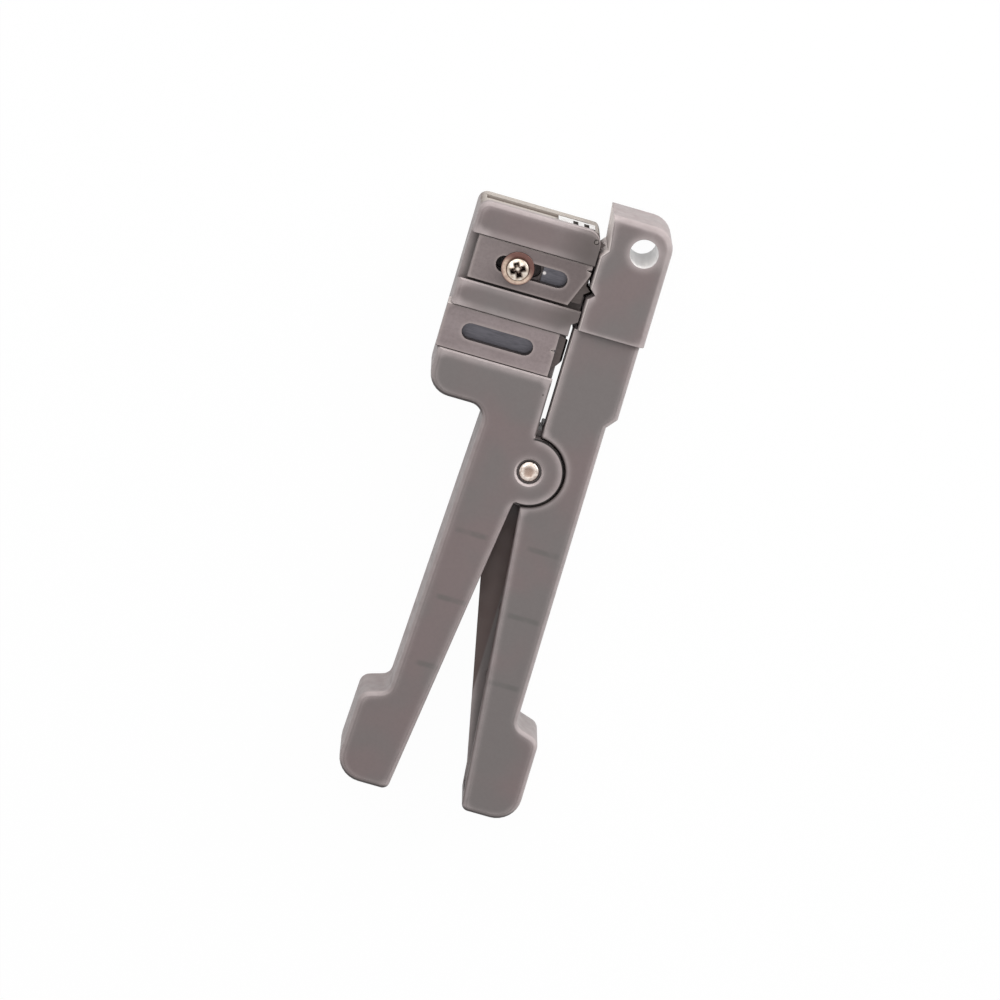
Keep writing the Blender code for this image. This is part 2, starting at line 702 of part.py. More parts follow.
    # Pivot holes, the spring's recess in the back ear and the groove for its leg
    head = PIN_HEAD_RADIUS + PIN_SINK_GAP
    depth = PIN_HEAD_HEIGHT + PIN_HEAD_SUNK + SEAT_GAP
    rim = head + PIN_SINK_CHAMFER
    cut(
        arm,
        turned(
            "pivot_front_hole",
            [
                (0, EAR_THICKNESS + CUT_PAST),
                (BORE_RADIUS, EAR_THICKNESS + CUT_PAST),
                (BORE_RADIUS, THICKNESS - depth),
                (head, THICKNESS - depth),
                (head, THICKNESS - PIN_SINK_CHAMFER),
                (rim, THICKNESS),
                (rim, THICKNESS + CUT_PAST),
                (0, THICKNESS + CUT_PAST),
            ],
        ),
    )
    sink = PIVOT_WASHER_RADIUS + BACK_SINK_GAP
    recess = SPRING_RADIUS + WIRE_RADIUS + SPRING_PLAY
    cut(
        arm,
        turned(
            "pivot_back_hole",
            [
                (0, -CUT_PAST),
                (sink, -CUT_PAST),
                (sink, BACK_SINK_DEPTH),
                (BORE_RADIUS, BACK_SINK_DEPTH),
                (BORE_RADIUS, EAR_THICKNESS - EAR_RECESS),
                (recess, EAR_THICKNESS - EAR_RECESS),
                (recess, EAR_THICKNESS + CUT_PAST),
                (0, EAR_THICKNESS + CUT_PAST),
            ],
        ),
    )
    groove = WIRE_RADIUS + SPRING_PLAY / 2
    reach = SPRING_RADIUS + math.tan(math.radians(SPRING_LEG_LEAN)) * EAR_RADIUS
    cut(
        arm,
        prism(
            "spring_groove",
            [
                (-SPRING_RADIUS - groove, -WIRE_RADIUS),
                (-reach - groove, -EAR_RADIUS - CUT_PAST),
                (-reach + groove, -EAR_RADIUS - CUT_PAST),
                (-SPRING_RADIUS + groove, -WIRE_RADIUS),
            ],
            EAR_THICKNESS - EAR_RECESS - SEAT_GAP,
            EAR_THICKNESS + CUT_PAST,
        ),
    )
    return arm


def clamp_arm():
    def outer(y):
        return on_line(OUTER_OFFSET, CLAMP_OUTER_LEAN, y)

    def inner(y):
        return on_line(SEAM_X, CLAMP_INNER_LEAN, y)

    hollow = EAR_RADIUS + EAR_GAP
    leave = line_meets_circle(SEAM_X, CLAMP_INNER_LEAN, hollow)
    soft_from = leave[1] - 2 * EDGE_EASE
    top_turn = math.acos(CLAMP_FACE_LOWER / hollow)
    tenon_top = HEAD_LINE_Y + 2 * CORE_RADIUS
    tenon_left, tenon_right = CLAMP_FACE_UPPER + EDGE_EASE, SHOULDER_RIGHT - 2 * EDGE_EASE
    toe_up = reversed_corners(handle_corners(outer, inner, 1))
    corners = [
        (tenon_left, tenon_top, 0.0, 0.0),
        (tenon_left, HEAD_LINE_Y, 0.0, 0.0),
        (CLAMP_FACE_LOWER, HEAD_LINE_Y, 0.0, EDGE_BREAK),
        *arc(hollow, top_turn, math.atan2(leave[1], leave[0])),
        (inner(soft_from), soft_from, 0.0, 1.0),
        *toe_up,
        (outer(SHOULDER_Y), SHOULDER_Y - SHOULDER_FALL, 0.0, 1.0),
        (SHOULDER_RIGHT, SHOULDER_Y, 0.0, 1.0),
        (SHOULDER_RIGHT, HEAD_LINE_Y, 0.0, 0.0),
        (tenon_right, HEAD_LINE_Y, 0.0, 0.0),
        (tenon_right, tenon_top, 0.0, 0.0),
    ]
    arm = eased_prism("clamp_arm", corners, 0.0, THICKNESS - HEAD_PROUD, PLASTIC)
    head = [
        (HEAD_INNER_TOP_X, HEAD_TOP, 0.0, EDGE_BREAK),
        (HEAD_INNER_LOW_X, HEAD_INNER_LOW_Y, 0.0, EDGE_BREAK),
        (CLAMP_FACE_UPPER, V_BLOCK_TOP_Y, 0.0, EDGE_BREAK),
        (CLAMP_FACE_UPPER, HEAD_LINE_Y, 0.0, 0.0),
        (HEAD_RIGHT, HEAD_LINE_Y, 0.0, 1.0),
        (HEAD_RIGHT, HEAD_TOP, HEAD_CORNER_RADIUS, 1.0),
    ]
    fuse(arm, eased_prism("clamp_head", head, 0.0, THICKNESS, front_ease=HEAD_EASE))

    # Hollow handle, then the tongue and the guard plate that closes the middle of it
    left = on_line(-TONGUE_RADIUS, PLATE_LEAN, 0.0) - CUT_PAST
    cut(arm, *handle_cells("clamp_handle", outer, left, 1, -hollow - WEB))
    fuse(arm, cylinder("tongue", TONGUE_RADIUS, TONGUE_BACK, TONGUE_FRONT, segments=48))
    lean = math.radians(PLATE_LEAN)
    foot = (-TONGUE_RADIUS * math.cos(lean), TONGUE_RADIUS * math.sin(lean))
    end_y = HANDLE_END_Y + WEB * 0.7
    middle_web = OUTER_OFFSET - WEB / 2
    plate = [
        foot,
        (on_line(-TONGUE_RADIUS, PLATE_LEAN, end_y), end_y),
        (middle_web, end_y),
        (middle_web, -hollow),
        (0.0, -TONGUE_RADIUS / 2),
    ]
    fuse(arm, prism("guard_plate", plate, PLATE_BACK, PLATE_FRONT))

    # Hanging hole, V notch, relieved jaw and cored back of the head
    cut(arm, cylinder("hang_hole", HANG_HOLE_RADIUS, -CUT_PAST, THICKNESS + CUT_PAST, HANG_HOLE, 40))
    notch = [
        (CLAMP_FACE_UPPER + V_DEPTH, V_Y),
        (CLAMP_FACE_UPPER - V_DEPTH, V_Y + 2 * V_HALF_MOUTH),
        (CLAMP_FACE_UPPER - V_DEPTH, V_Y - 2 * V_HALF_MOUTH),
    ]
    cut(arm, prism("v_notch", notch, -CUT_PAST, THICKNESS + CUT_PAST))
    relief = box(
        "jaw_relief",
        (CLAMP_FACE_LOWER - CUT_PAST, TONGUE_RADIUS + SEAT_GAP, -CUT_PAST),
        (
            CLAMP_FACE_LOWER + JAW_RELIEF,
            HEAD_LINE_Y - RELIEF_LAND,
            THICKNESS - HEAD_PROUD - JAW_LIP,
        ),
    )
    cut(arm, relief)
    core_left = CLAMP_FACE_UPPER + V_DEPTH + CORE_WALL / 2
    core_right = SHOULDER_RIGHT - CORE_WALL
    core_top = HANG_HOLE[1] - HANG_HOLE_RADIUS - CORE_WALL
    half_rib = CORE_WALL / 2
    cut(arm, core_pocket("head_core", core_left, core_right, HEAD_LINE_Y + half_rib, core_top))
    cut(
        arm,
        core_pocket("waist_core", core_left, core_right - HEAD_PROUD, SHOULDER_Y, HEAD_LINE_Y - half_rib),
    )

    # Pocket for the spring and the bush, and the slot for the spring's leg
    pocket = SPRING_RADIUS + WIRE_RADIUS + SPRING_PLAY
    floor = TONGUE_FRONT - TONGUE_FLOOR
    bush_hole = BUSH_RADIUS + PIN_PLAY
    cut(
        arm,
        turned(
            "spring_pocket",
            [
                (0, TONGUE_BACK - CUT_PAST / 2),
                (pocket, TONGUE_BACK - CUT_PAST / 2),
                (pocket, floor),
                (bush_hole, floor),
                (bush_hole, TONGUE_FRONT + CUT_PAST / 2),
                (0, TONGUE_FRONT + CUT_PAST / 2),
            ],
        ),
    )
    groove = WIRE_RADIUS + SPRING_PLAY / 2
    low = -hollow - WEB - CUT_PAST
    reach = SPRING_RADIUS - math.tan(math.radians(SPRING_LEG_LEAN)) * low
    slot = [
        (SPRING_RADIUS - groove, -WIRE_RADIUS),
        (reach - groove, low),
        (reach + groove, low),
        (SPRING_RADIUS + groove, -WIRE_RADIUS),
    ]
    cut(arm, prism("spring_leg_slot", slot, TONGUE_BACK - CUT_PAST / 2, floor))
    return arm


# Pivot hardware


def torsion_spring():
    """Coil round the bush, a straight leg from each end of it."""
    lean = math.radians(SPRING_LEG_LEAN)
    steps = round(SPRING_TURNS * SPRING_STEPS)
    away = math.tan(lean) * SPRING_LEG
    points = [(-SPRING_RADIUS - away, -SPRING_LEG, COIL_BACK)]
    for k in range(steps + 1):
        turn = math.pi - 2 * math.pi * SPRING_TURNS * k / steps
        z = COIL_BACK + (COIL_FRONT - COIL_BACK) * k / steps
        points.append((SPRING_RADIUS * math.cos(turn), SPRING_RADIUS * math.sin(turn), z))
    points.append((SPRING_RADIUS + away, -SPRING_LEG, COIL_FRONT))

    curve = bpy.data.curves.new("torsion_spring", "CURVE")
    curve.dimensions = "3D"
    curve.bevel_depth = WIRE_RADIUS * MM
    curve.bevel_resolution = 2
    curve.use_fill_caps = True
    spline = curve.splines.new("POLY")
    spline.points.add(len(points) - 1)
    for point, place in zip(spline.points, points):
        point.co = (*(Vector(place) * MM), 1.0)
    spring = make_object("torsion_spring", spring_mesh(curve), SPRING_STEEL)
    return spring


def spring_mesh(curve):
    """The bevelled curve as a mesh of its own."""
    carrier = bpy.data.objects.new("spring_path", curve)
    bpy.context.scene.collection.objects.link(carrier)
    graph = bpy.context.evaluated_depsgraph_get()
    mesh = bpy.data.meshes.new_from_object(carrier.evaluated_get(graph))
    mesh.name = "torsion_spring"
    bpy.data.objects.remove(carrier)
    work = bmesh.new()
    work.from_mesh(mesh)
    bmesh.ops.remove_doubles(work, verts=work.verts, dist=WIRE_RADIUS * MM / 50)
    bmesh.ops.recalc_face_normals(work, faces=work.faces)
    work.to_mesh(mesh)
    work.free()
    return mesh


def pivot_hardware():
    head_top = THICKNESS - PIN_HEAD_SUNK
    head_low = head_top - PIN_HEAD_HEIGHT
    washer_front = BACK_SINK_DEPTH - SEAT_GAP
    washer_back = washer_front - PIVOT_WASHER_THICKNESS
    retainer_front = washer_back - SEAT_GAP
    retainer_back = retainer_front - RETAINER_THICKNESS
    pin = turned(
        "pivot_pin",
        [
            (0, retainer_back - SEAT_GAP),
            (PIN_RADIUS - PIN_CHAMFER, retainer_back - SEAT_GAP),
            (PIN_RADIUS, retainer_back - SEAT_GAP + PIN_CHAMFER),
            (PIN_RADIUS, head_low),
            (PIN_HEAD_RADIUS, head_low),
            (PIN_HEAD_RADIUS, head_top - PIN_HEAD_EDGE),
            (PIN_HEAD_RADIUS * 0.85, head_top - PIN_HEAD_EDGE / 7),
            (PIN_HEAD_RADIUS * 0.6, head_top),
            (0, head_top - PIN_DIMPLE),
        ],
        NICKEL,
    )
    bush = turned(
        "pivot_bush",
        [
            (BUSH_RADIUS, EAR_THICKNESS - EAR_RECESS + SEAT_GAP),
            (BUSH_RADIUS, TONGUE_FRONT),
            (BORE_RADIUS, TONGUE_FRONT),
            (BORE_RADIUS, EAR_THICKNESS - EAR_RECESS + SEAT_GAP),
        ],
        BRASS,
    )
    washer = turned(
        "pivot_washer",
        [
            (PIVOT_WASHER_RADIUS, washer_back),
            (PIVOT_WASHER_RADIUS, washer_front),
            (BORE_RADIUS, washer_front),
            (BORE_RADIUS, washer_back),
        ],
        BRIGHT_STEEL,
    )
    bite = PIN_RADIUS + PIN_PLAY / 2
    retainer = turned(
        "pivot_retainer",
        [
            (RETAINER_RADIUS, retainer_back),
            (RETAINER_RADIUS, retainer_front),
            (bite, retainer_front),
            (bite, retainer_back),
        ],
        BRIGHT_STEEL,
    )
    for k in range(RETAINER_TEETH):
        slit = box(
            f"retainer_slit_{k}",
            (0.0, -RETAINER_SLIT / 2, retainer_back - CUT_PAST),
            ((bite + RETAINER_RADIUS) / 2, RETAINER_SLIT / 2, retainer_front + CUT_PAST),
        )
        slit.rotation_euler.z = 2 * math.pi * k / RETAINER_TEETH
        cut(retainer, slit)
    return [pin, bush, washer, retainer, torsion_spring()]


# Cassettes and blades


def cassette(name, left, slot_left, right, mark_y):
    """Slotted slide with dovetail sides, a blade pocket below and two pegs in it."""
    undercut = CASSETTE_THICKNESS * math.tan(math.radians(DOVETAIL))
    half = CASSETTE_HEIGHT / 2
    section = [
        (-half - undercut, CASSETTE_BACK),
        (half + undercut, CASSETTE_BACK),
        (half, CASSETTE_FRONT),
        (-half, CASSETTE_FRONT),
    ]
    slide = along_x(name, section, left, right, CASSETTE_PLASTIC)
    slot = obround(SLOT_LENGTH, SLOT_WIDTH, (slot_left + SLOT_LENGTH / 2, 0.0))
    cut(slide, prism(name + "_slot", slot, CASSETTE_BACK - CUT_PAST, CASSETTE_FRONT + CUT_PAST))
    pocket_top = BLADE_FRONT + BLADE_POCKET_PLAY / 2
    pocket = box(
        name + "_pocket",
        (left - CUT_PAST, -half, CASSETTE_BACK - CUT_PAST),
        (right + CUT_PAST, half, pocket_top),
    )
    cut(slide, pocket)
    for k, peg in enumerate(peg_places(right)):
        fuse(
            slide,
            cylinder(f"{name}_peg_{k}", PEG_RADIUS, BLADE_BACK, pocket_top + SEAT_GAP, peg, 16),
        )
    mark = [
        (right - MARK_DEPTH, mark_y),
        (right + MARK_DEPTH, mark_y - MARK_WIDTH),
        (right + MARK_DEPTH, mark_y + MARK_WIDTH),
    ]
    cut(slide, prism(name + "_mark", mark, pocket_top - CUT_PAST, CASSETTE_FRONT + CUT_PAST))
    return slide


def slanted_nose(right):
    """Cutter that slants the lower part of a cassette's nose back from its end."""
    half = CASSETTE_HEIGHT / 2
    lean = NOSE_SLANT_BACK / (half + NOSE_SLANT_RISE)
    high, low = NOSE_SLANT_RISE + CUT_PAST / 2, -half - CUT_PAST
    points = [
        (right + lean * CUT_PAST / 2, high),
        (right - lean * (NOSE_SLANT_RISE - low), low),
        (right + CUT_PAST, low),
        (right + CUT_PAST, high),
    ]
    return prism("slanted_nose", points, CASSETTE_BACK - CUT_PAST, CASSETTE_FRONT + CUT_PAST)


def peg_places(right):
    """Where the pegs stand, in the cassette's own frame: midway from slot to blade edge."""
    beside = (SLOT_WIDTH / 2 + CASSETTE_HEIGHT / 2 - BLADE_SIDE_GAP) / 2
    return [(right - PEG_FROM_NOSE, beside), (right - PEG_FROM_NOSE - PEG_PITCH, -beside)]


def blade(name, outline, pegs, y):
    """Flat blade with its soft edges ground to a bevel, on the cassette's pegs."""
    points, soft = rounded(outline)
    grind = inset(points, soft, BLADE_EDGE)
    low = [(x, yy, BLADE_BACK) for x, yy in points]
    middle = [(x, yy, BLADE_BACK + BLADE_THICKNESS * 0.2) for x, yy in points]
    high = [(x, yy, BLADE_FRONT) for x, yy in grind]
    plate = loft(name, [low, middle, high], BLUED_STEEL)
    for k, peg in enumerate(pegs):
        hole = PEG_RADIUS + PIN_PLAY
        span = (BLADE_BACK - CUT_PAST, BLADE_FRONT + CUT_PAST)
        cut(plate, cylinder(f"{name}_hole_{k}", hole, *span, peg, 16))
    return at(plate, 0.0, y)


def cassettes_and_blades():
    half = CASSETTE_HEIGHT / 2 - BLADE_SIDE_GAP
    tip_y = V_Y - UPPER_Y
    root = UPPER_BLADE_ROOT
    spread = (TIP_X - root) * math.tan(math.radians(TIP_HALF_ANGLE))
    point = [
        (UPPER_BLADE_LEFT, -half, 0.0, 0.0),
        (root, -half, 0.0, 0.0),
        (root, tip_y - spread, 0.0, 1.0),
        (TIP_X, tip_y, 0.0, 1.0),
        (root, tip_y + spread, 0.0, 0.0),
        (root, half, 0.0, 0.0),
        (UPPER_BLADE_LEFT, half, 0.0, 0.0),
    ]
    edge = CLAMP_FACE_LOWER - LOWER_EDGE_CLEARANCE
    straight = [
        (LOWER_SLOT_LEFT - BLADE_PAST_SLOT, -half, 0.0, 0.0),
        (LOWER_RIGHT, -half, 0.0, 0.0),
        (edge, -LOWER_EDGE_BELOW, 0.0, 1.0),
        (edge, LOWER_EDGE_ABOVE, 0.0, 0.0),
        (LOWER_RIGHT, half, 0.0, 0.0),
        (LOWER_SLOT_LEFT - BLADE_PAST_SLOT, half, 0.0, 0.0),
    ]
    upper = cassette("upper_cassette", UPPER_LEFT, UPPER_SLOT_LEFT, UPPER_RIGHT, UPPER_MARK)
    cut(upper, slanted_nose(UPPER_RIGHT))
    lower = cassette("lower_cassette", LOWER_LEFT, LOWER_SLOT_LEFT, LOWER_RIGHT, LOWER_MARK)
    return [
        at(upper, 0.0, UPPER_Y),
        at(lower, 0.0, LOWER_Y),
        blade("upper_blade", point, peg_places(UPPER_RIGHT), UPPER_Y),
        blade("lower_blade", straight, peg_places(LOWER_RIGHT), LOWER_Y),
    ]


# Screws


def pan_screw(name, seat, tip, finish):
    """Pan head screw with a cross recess, its head on the +Z side of the seat."""
    length = seat - tip
    screw = turned(
        name,
        [
            (0, -length),
            (SCREW_RADIUS - SCREW_POINT, -length),
            (SCREW_RADIUS, -length + SCREW_POINT),
            (SCREW_RADIUS, 0),
            (SCREW_HEAD_RADIUS, 0),
            (SCREW_HEAD_RADIUS, SCREW_HEAD_HEIGHT * 0.5),
            (SCREW_HEAD_RADIUS * 0.9, SCREW_HEAD_HEIGHT * 0.8),
            (SCREW_HEAD_RADIUS * 0.65, SCREW_HEAD_HEIGHT * 0.96),
            (0, SCREW_HEAD_HEIGHT),
        ],
        finish,
    )
    half, reach = RECESS_WIDTH / 2, RECESS_REACH
    cross = [(half, -reach), (half, -half), (reach, -half), (reach, half), (half, half), (half, reach)]
    cross += [(-x, -y) for x, y in cross]
    low = SCREW_HEAD_HEIGHT - RECESS_DEPTH
    rings = [
        [(x * 0.55, y * 0.55, low) for x, y in cross],
        [(x * 1.2, y * 1.2, SCREW_HEAD_HEIGHT + RECESS_DEPTH / 2) for x, y in cross],
    ]
    recess = loft(name + "_recess", rings)
    recess.rotation_euler.z = math.radians(RECESS_TURN)
    cut(screw, recess)
    return screw


def nut(name, low, centre):
    body = prism(name, hexagon(NUT_ACROSS_FLATS, (0.0, 0.0)), 0.0, NUT_HEIGHT, BRIGHT_STEEL)
    thread = SCREW_RADIUS + PIN_PLAY / 2
    bore = cylinder(name + "_bore", thread, -CUT_PAST, NUT_HEIGHT + CUT_PAST, segments=24)
    cut(body, bore)
    return at(body, *centre, low)


def screws():
    washer_back = CASSETTE_FRONT + SEAT_GAP
    washer_front = washer_back + WASHER_THICKNESS
    washer = turned(
        "clamp_washer",
        [
            (WASHER_RADIUS, 0),
            (WASHER_RADIUS, WASHER_THICKNESS),
            (SCREW_RADIUS + PIN_PLAY, WASHER_THICKNESS),
            (SCREW_RADIUS + PIN_PLAY, 0),
        ],
        NICKEL,
    )
    nut_low = NUT_SEAT_Z - SEAT_GAP - NUT_HEIGHT
    seat = washer_front + SEAT_GAP
    clamp = pan_screw("clamp_screw", seat, nut_low - SEAT_GAP, NICKEL)
    lock_seat = LOCK_SINK_DEPTH - SEAT_GAP
    lock = pan_screw("lock_screw", BAY_FLOOR, lock_seat, NICKEL)
    lock.rotation_euler.x = math.pi
    lock_nut_low = BAY_FLOOR - 2 * SEAT_GAP - NUT_HEIGHT
    return [
        at(washer, SCREW_X, UPPER_Y, washer_back),
        at(clamp, SCREW_X, UPPER_Y, seat),
        nut("clamp_nut", nut_low, (SCREW_X, UPPER_Y)),
        at(lock, SCREW_X, LOWER_Y, lock_seat),
        nut("lock_nut", lock_nut_low, (SCREW_X, LOWER_Y)),
    ]


# Top blade


def top_blade():
    tip_x, tip_y = TOP_TIP
    face = JAW_FACE_UPPER - SEAT_GAP
    tip_top = tip_y + TOP_TIP_ROOT / 2
    outline = [
        (TOP_BLADE_LEFT, TOP_BLADE_LOW, 0.0, 0.0),
        (face, TOP_BLADE_LOW, 0.0, 0.0),
        (face, tip_y - TOP_TIP_ROOT, 0.0, 1.0),
        (tip_x, tip_y, 0.0, 1.0),
        (tip_corner_x(tip_top) - SEAT_GAP, tip_top, 0.0, 0.0),
        (tip_corner_x(TOP_BLADE_HIGH) - SEAT_GAP, TOP_BLADE_HIGH, 0.0, 0.0),
        (TOP_BLADE_LEFT, TOP_BLADE_HIGH, 0.0, 0.0),
    ]
    points, soft = rounded(outline)
    grind = inset(points, soft, BLADE_EDGE)
    rings = [
        [(x, y, TOP_BLADE_BACK) for x, y in grind],
        [(x, y, TOP_BLADE_FRONT - BLADE_THICKNESS * 0.2) for x, y in points],
        [(x, y, TOP_BLADE_FRONT) for x, y in points],
    ]
    plate = loft("top_blade", rings, BLUED_STEEL)
    hole = BLADE_PIN_RADIUS + PIN_PLAY / 2
    span = (TOP_BLADE_BACK - CUT_PAST, TOP_BLADE_FRONT + CUT_PAST)
    for name, centre in (*BLADE_PINS.items(), ("corner_pin", CORNER_PIN)):
        cut(plate, cylinder(name + "_blade_hole", hole, *span, centre, 16))
    return plate


def top_blade_clip():
    """Angle that backs the top blade, its plate on the shelf and notched in front."""
    leg_back = CLIP_FRONT - CLIP_LEG
    plate_low = SHELF_Y + SEAT_GAP
    plate_high = plate_low + CLIP_PLATE
    section = [
        (TOP_BLADE_LOW, leg_back),
        (plate_low, leg_back),
        (plate_low, CLIP_BACK),
        (plate_high, CLIP_BACK),
        (plate_high, CLIP_FRONT),
        (TOP_BLADE_LOW, CLIP_FRONT),
    ]
    clip = along_x("top_blade_clip", section, CLIP_LEFT, CLIP_RIGHT, BRIGHT_STEEL)
    for k, x in enumerate(CLIP_NOTCHES):
        notch = box(
            f"clip_notch_{k}",
            (x - CLIP_NOTCH_WIDTH / 2, plate_low - SEAT_GAP / 2, CLIP_FRONT - CLIP_NOTCH_DEPTH),
            (x + CLIP_NOTCH_WIDTH / 2, plate_high + CUT_PAST, CLIP_FRONT + CUT_PAST),
        )
        cut(clip, notch)
    hole = BLADE_PIN_RADIUS + PIN_PLAY / 2
    span = (leg_back - CUT_PAST, CLIP_FRONT + CUT_PAST)
    for name, centre in (*BLADE_PINS.items(), ("corner_pin", CORNER_PIN)):
        cut(clip, cylinder(name + "_clip_hole", hole, *span, centre, 16))
    return clip


def blade_pins():
    low = TOP_SLOT_FRONT - TOP_SLOT_WIDTH - BLADE_PIN_REACH
    high = TOP_SLOT_FRONT + BLADE_PIN_REACH / 2
    spans = {name: (centre, high) for name, centre in BLADE_PINS.items()}
    spans["blade_pin_corner"] = (CORNER_PIN, THICKNESS - SEAT_GAP)
    pins = []
    for name, (centre, top) in spans.items():
        radius, chamfer = BLADE_PIN_RADIUS, BLADE_PIN_RADIUS / 4
        profile = [
            (0, low),
            (radius - chamfer, low),
            (radius, low + chamfer),
            (radius, top - chamfer),
            (radius - chamfer, top),
            (0, top),
        ]
        pins.append(at(turned(name, profile, BRIGHT_STEEL, 16), *centre))
    return pins


# Assembly


def place_on_origin(pieces):
    """One empty carries the tool, with the middle of its footprint over the origin."""
    left = min(LOWER_LEFT, JAW_LEFT)
    right = on_line(OUTER_OFFSET, CLAMP_OUTER_LEAN, HANDLE_END_Y) + HOOK_REACH
    middle = ((left + right) / 2, (HANDLE_END_Y + HEAD_TOP) / 2, 0.0)
    carrier = bpy.data.objects.new("stripper", None)
    bpy.context.scene.collection.objects.link(carrier)
    carrier.location = -Vector(middle) * MM
    for piece in pieces:
        if not piece.parent:
            piece.parent = carrier


def main():
    for obj in list(bpy.data.objects):
        bpy.data.objects.remove(obj)
    blade_arm()
    clamp_arm()
    pivot_hardware()
    cassettes_and_blades()
    screws()
    top_blade()
    top_blade_clip()
    blade_pins()
    place_on_origin(list(bpy.context.scene.collection.objects))


main()
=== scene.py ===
import json
import math

import bmesh
import bpy
from mathutils import Matrix, Vector

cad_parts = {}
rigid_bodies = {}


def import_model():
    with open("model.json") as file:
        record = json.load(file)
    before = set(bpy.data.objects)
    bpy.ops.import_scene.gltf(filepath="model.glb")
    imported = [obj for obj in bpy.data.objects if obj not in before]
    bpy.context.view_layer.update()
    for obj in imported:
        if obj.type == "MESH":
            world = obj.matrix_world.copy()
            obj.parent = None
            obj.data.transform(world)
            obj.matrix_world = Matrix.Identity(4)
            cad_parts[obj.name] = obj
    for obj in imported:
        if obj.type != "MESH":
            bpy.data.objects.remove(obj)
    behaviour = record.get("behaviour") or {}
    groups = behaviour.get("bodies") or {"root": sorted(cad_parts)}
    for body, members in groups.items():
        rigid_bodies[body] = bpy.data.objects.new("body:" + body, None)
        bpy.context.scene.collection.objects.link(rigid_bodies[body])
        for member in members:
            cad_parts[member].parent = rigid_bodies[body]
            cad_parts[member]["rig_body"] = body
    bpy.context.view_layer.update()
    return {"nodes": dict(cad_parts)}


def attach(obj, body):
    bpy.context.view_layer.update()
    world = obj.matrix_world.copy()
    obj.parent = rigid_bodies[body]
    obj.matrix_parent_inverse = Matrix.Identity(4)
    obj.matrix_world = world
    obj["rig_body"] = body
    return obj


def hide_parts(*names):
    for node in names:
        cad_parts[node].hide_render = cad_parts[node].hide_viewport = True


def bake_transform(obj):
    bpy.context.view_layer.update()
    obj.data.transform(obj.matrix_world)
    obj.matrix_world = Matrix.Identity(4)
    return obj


mm = 0.001

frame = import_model()
scene = bpy.context.scene


def toLinear(*rgb):
    # 0 to 255 display values to the linear colour that a shader takes
    out = []
    for value in rgb:
        c = value / 255
        out.append(c / 12.92 if c <= 0.04045 else ((c + 0.055) / 1.055) ** 2.4)
    return (*out, 1.0)


def addObject(name, data):
    made = bpy.data.objects.new(name, data)
    scene.collection.objects.link(made)
    return made


class Wire:
    # a socket that takes part in sums
    def __init__(self, paint, socket):
        self.paint, self.socket = paint, socket

    def other(self, output):
        # another output of the same node
        return Wire(self.paint, self.socket.node.outputs[output])

    def __add__(self, other):
        return self.paint.maths("ADD", self, other)

    def __radd__(self, other):
        return self.paint.maths("ADD", other, self)

    def __sub__(self, other):
        return self.paint.maths("SUBTRACT", self, other)

    def __rsub__(self, other):
        return self.paint.maths("SUBTRACT", other, self)

    def __mul__(self, other):
        return self.paint.maths("MULTIPLY", self, other)

    def __rmul__(self, other):
        return self.paint.maths("MULTIPLY", other, self)

    def __neg__(self):
        return self.paint.maths("MULTIPLY", self, -1.0)

    def __abs__(self):
        return self.paint.maths("ABSOLUTE", self)


class NodeTree:
    # the shader nodes of a material or of the world
    def __init__(self, owner):
        owner.use_nodes = True
        self.owner = owner
        self.tree = owner.node_tree

    def node(self, kind, settings=None, inputs=None, output=0):
        made = self.tree.nodes.new(kind)
        for key, value in (settings or {}).items():
            setattr(made, key, value)
        for key, value in (inputs or {}).items():
            self.feed(made.inputs[key], value)
        return Wire(self, made.outputs[output])

    def feed(self, socket, value):
        if isinstance(value, Wire):
            self.tree.links.new(value.socket, socket)
        else:
            socket.default_value = value

    def maths(self, operation, a, b=None):
        inputs = {k: v for k, v in enumerate((a, b)) if v is not None}
        return self.node("ShaderNodeMath", {"operation": operation}, inputs)

    def most(self, *values):
        # the largest of several values
        best = values[0]
        for value in values[1:]:
            best = self.maths("MAXIMUM", best, value)
        return best

    def seenPlain(self):
        # 1 for the rays that should meet plain white
        ray = self.node("ShaderNodeLightPath", output="Is Camera Ray")
        return self.most(ray, ray.other("Is Glossy Ray"), ray.other("Is Transmission Ray"))


shading = {
    "gapSamples": 12,
    "edgeSamples": 6,
    "thinSpan": (0.45, 0.94),  # openness behind a thin edge and behind a thick face
    "thinTilt": (0.35, 0.75),  # from an upright wall to a level face
    "thinUpright": 0.45,  # how thin an upright wall counts as
    "hollowSpan": (0.3, 0.8),  # openness in a gap and on a free face
    "roughSpan": (0.3, 0.7),  # part of a noise that runs over a range of roughness
}


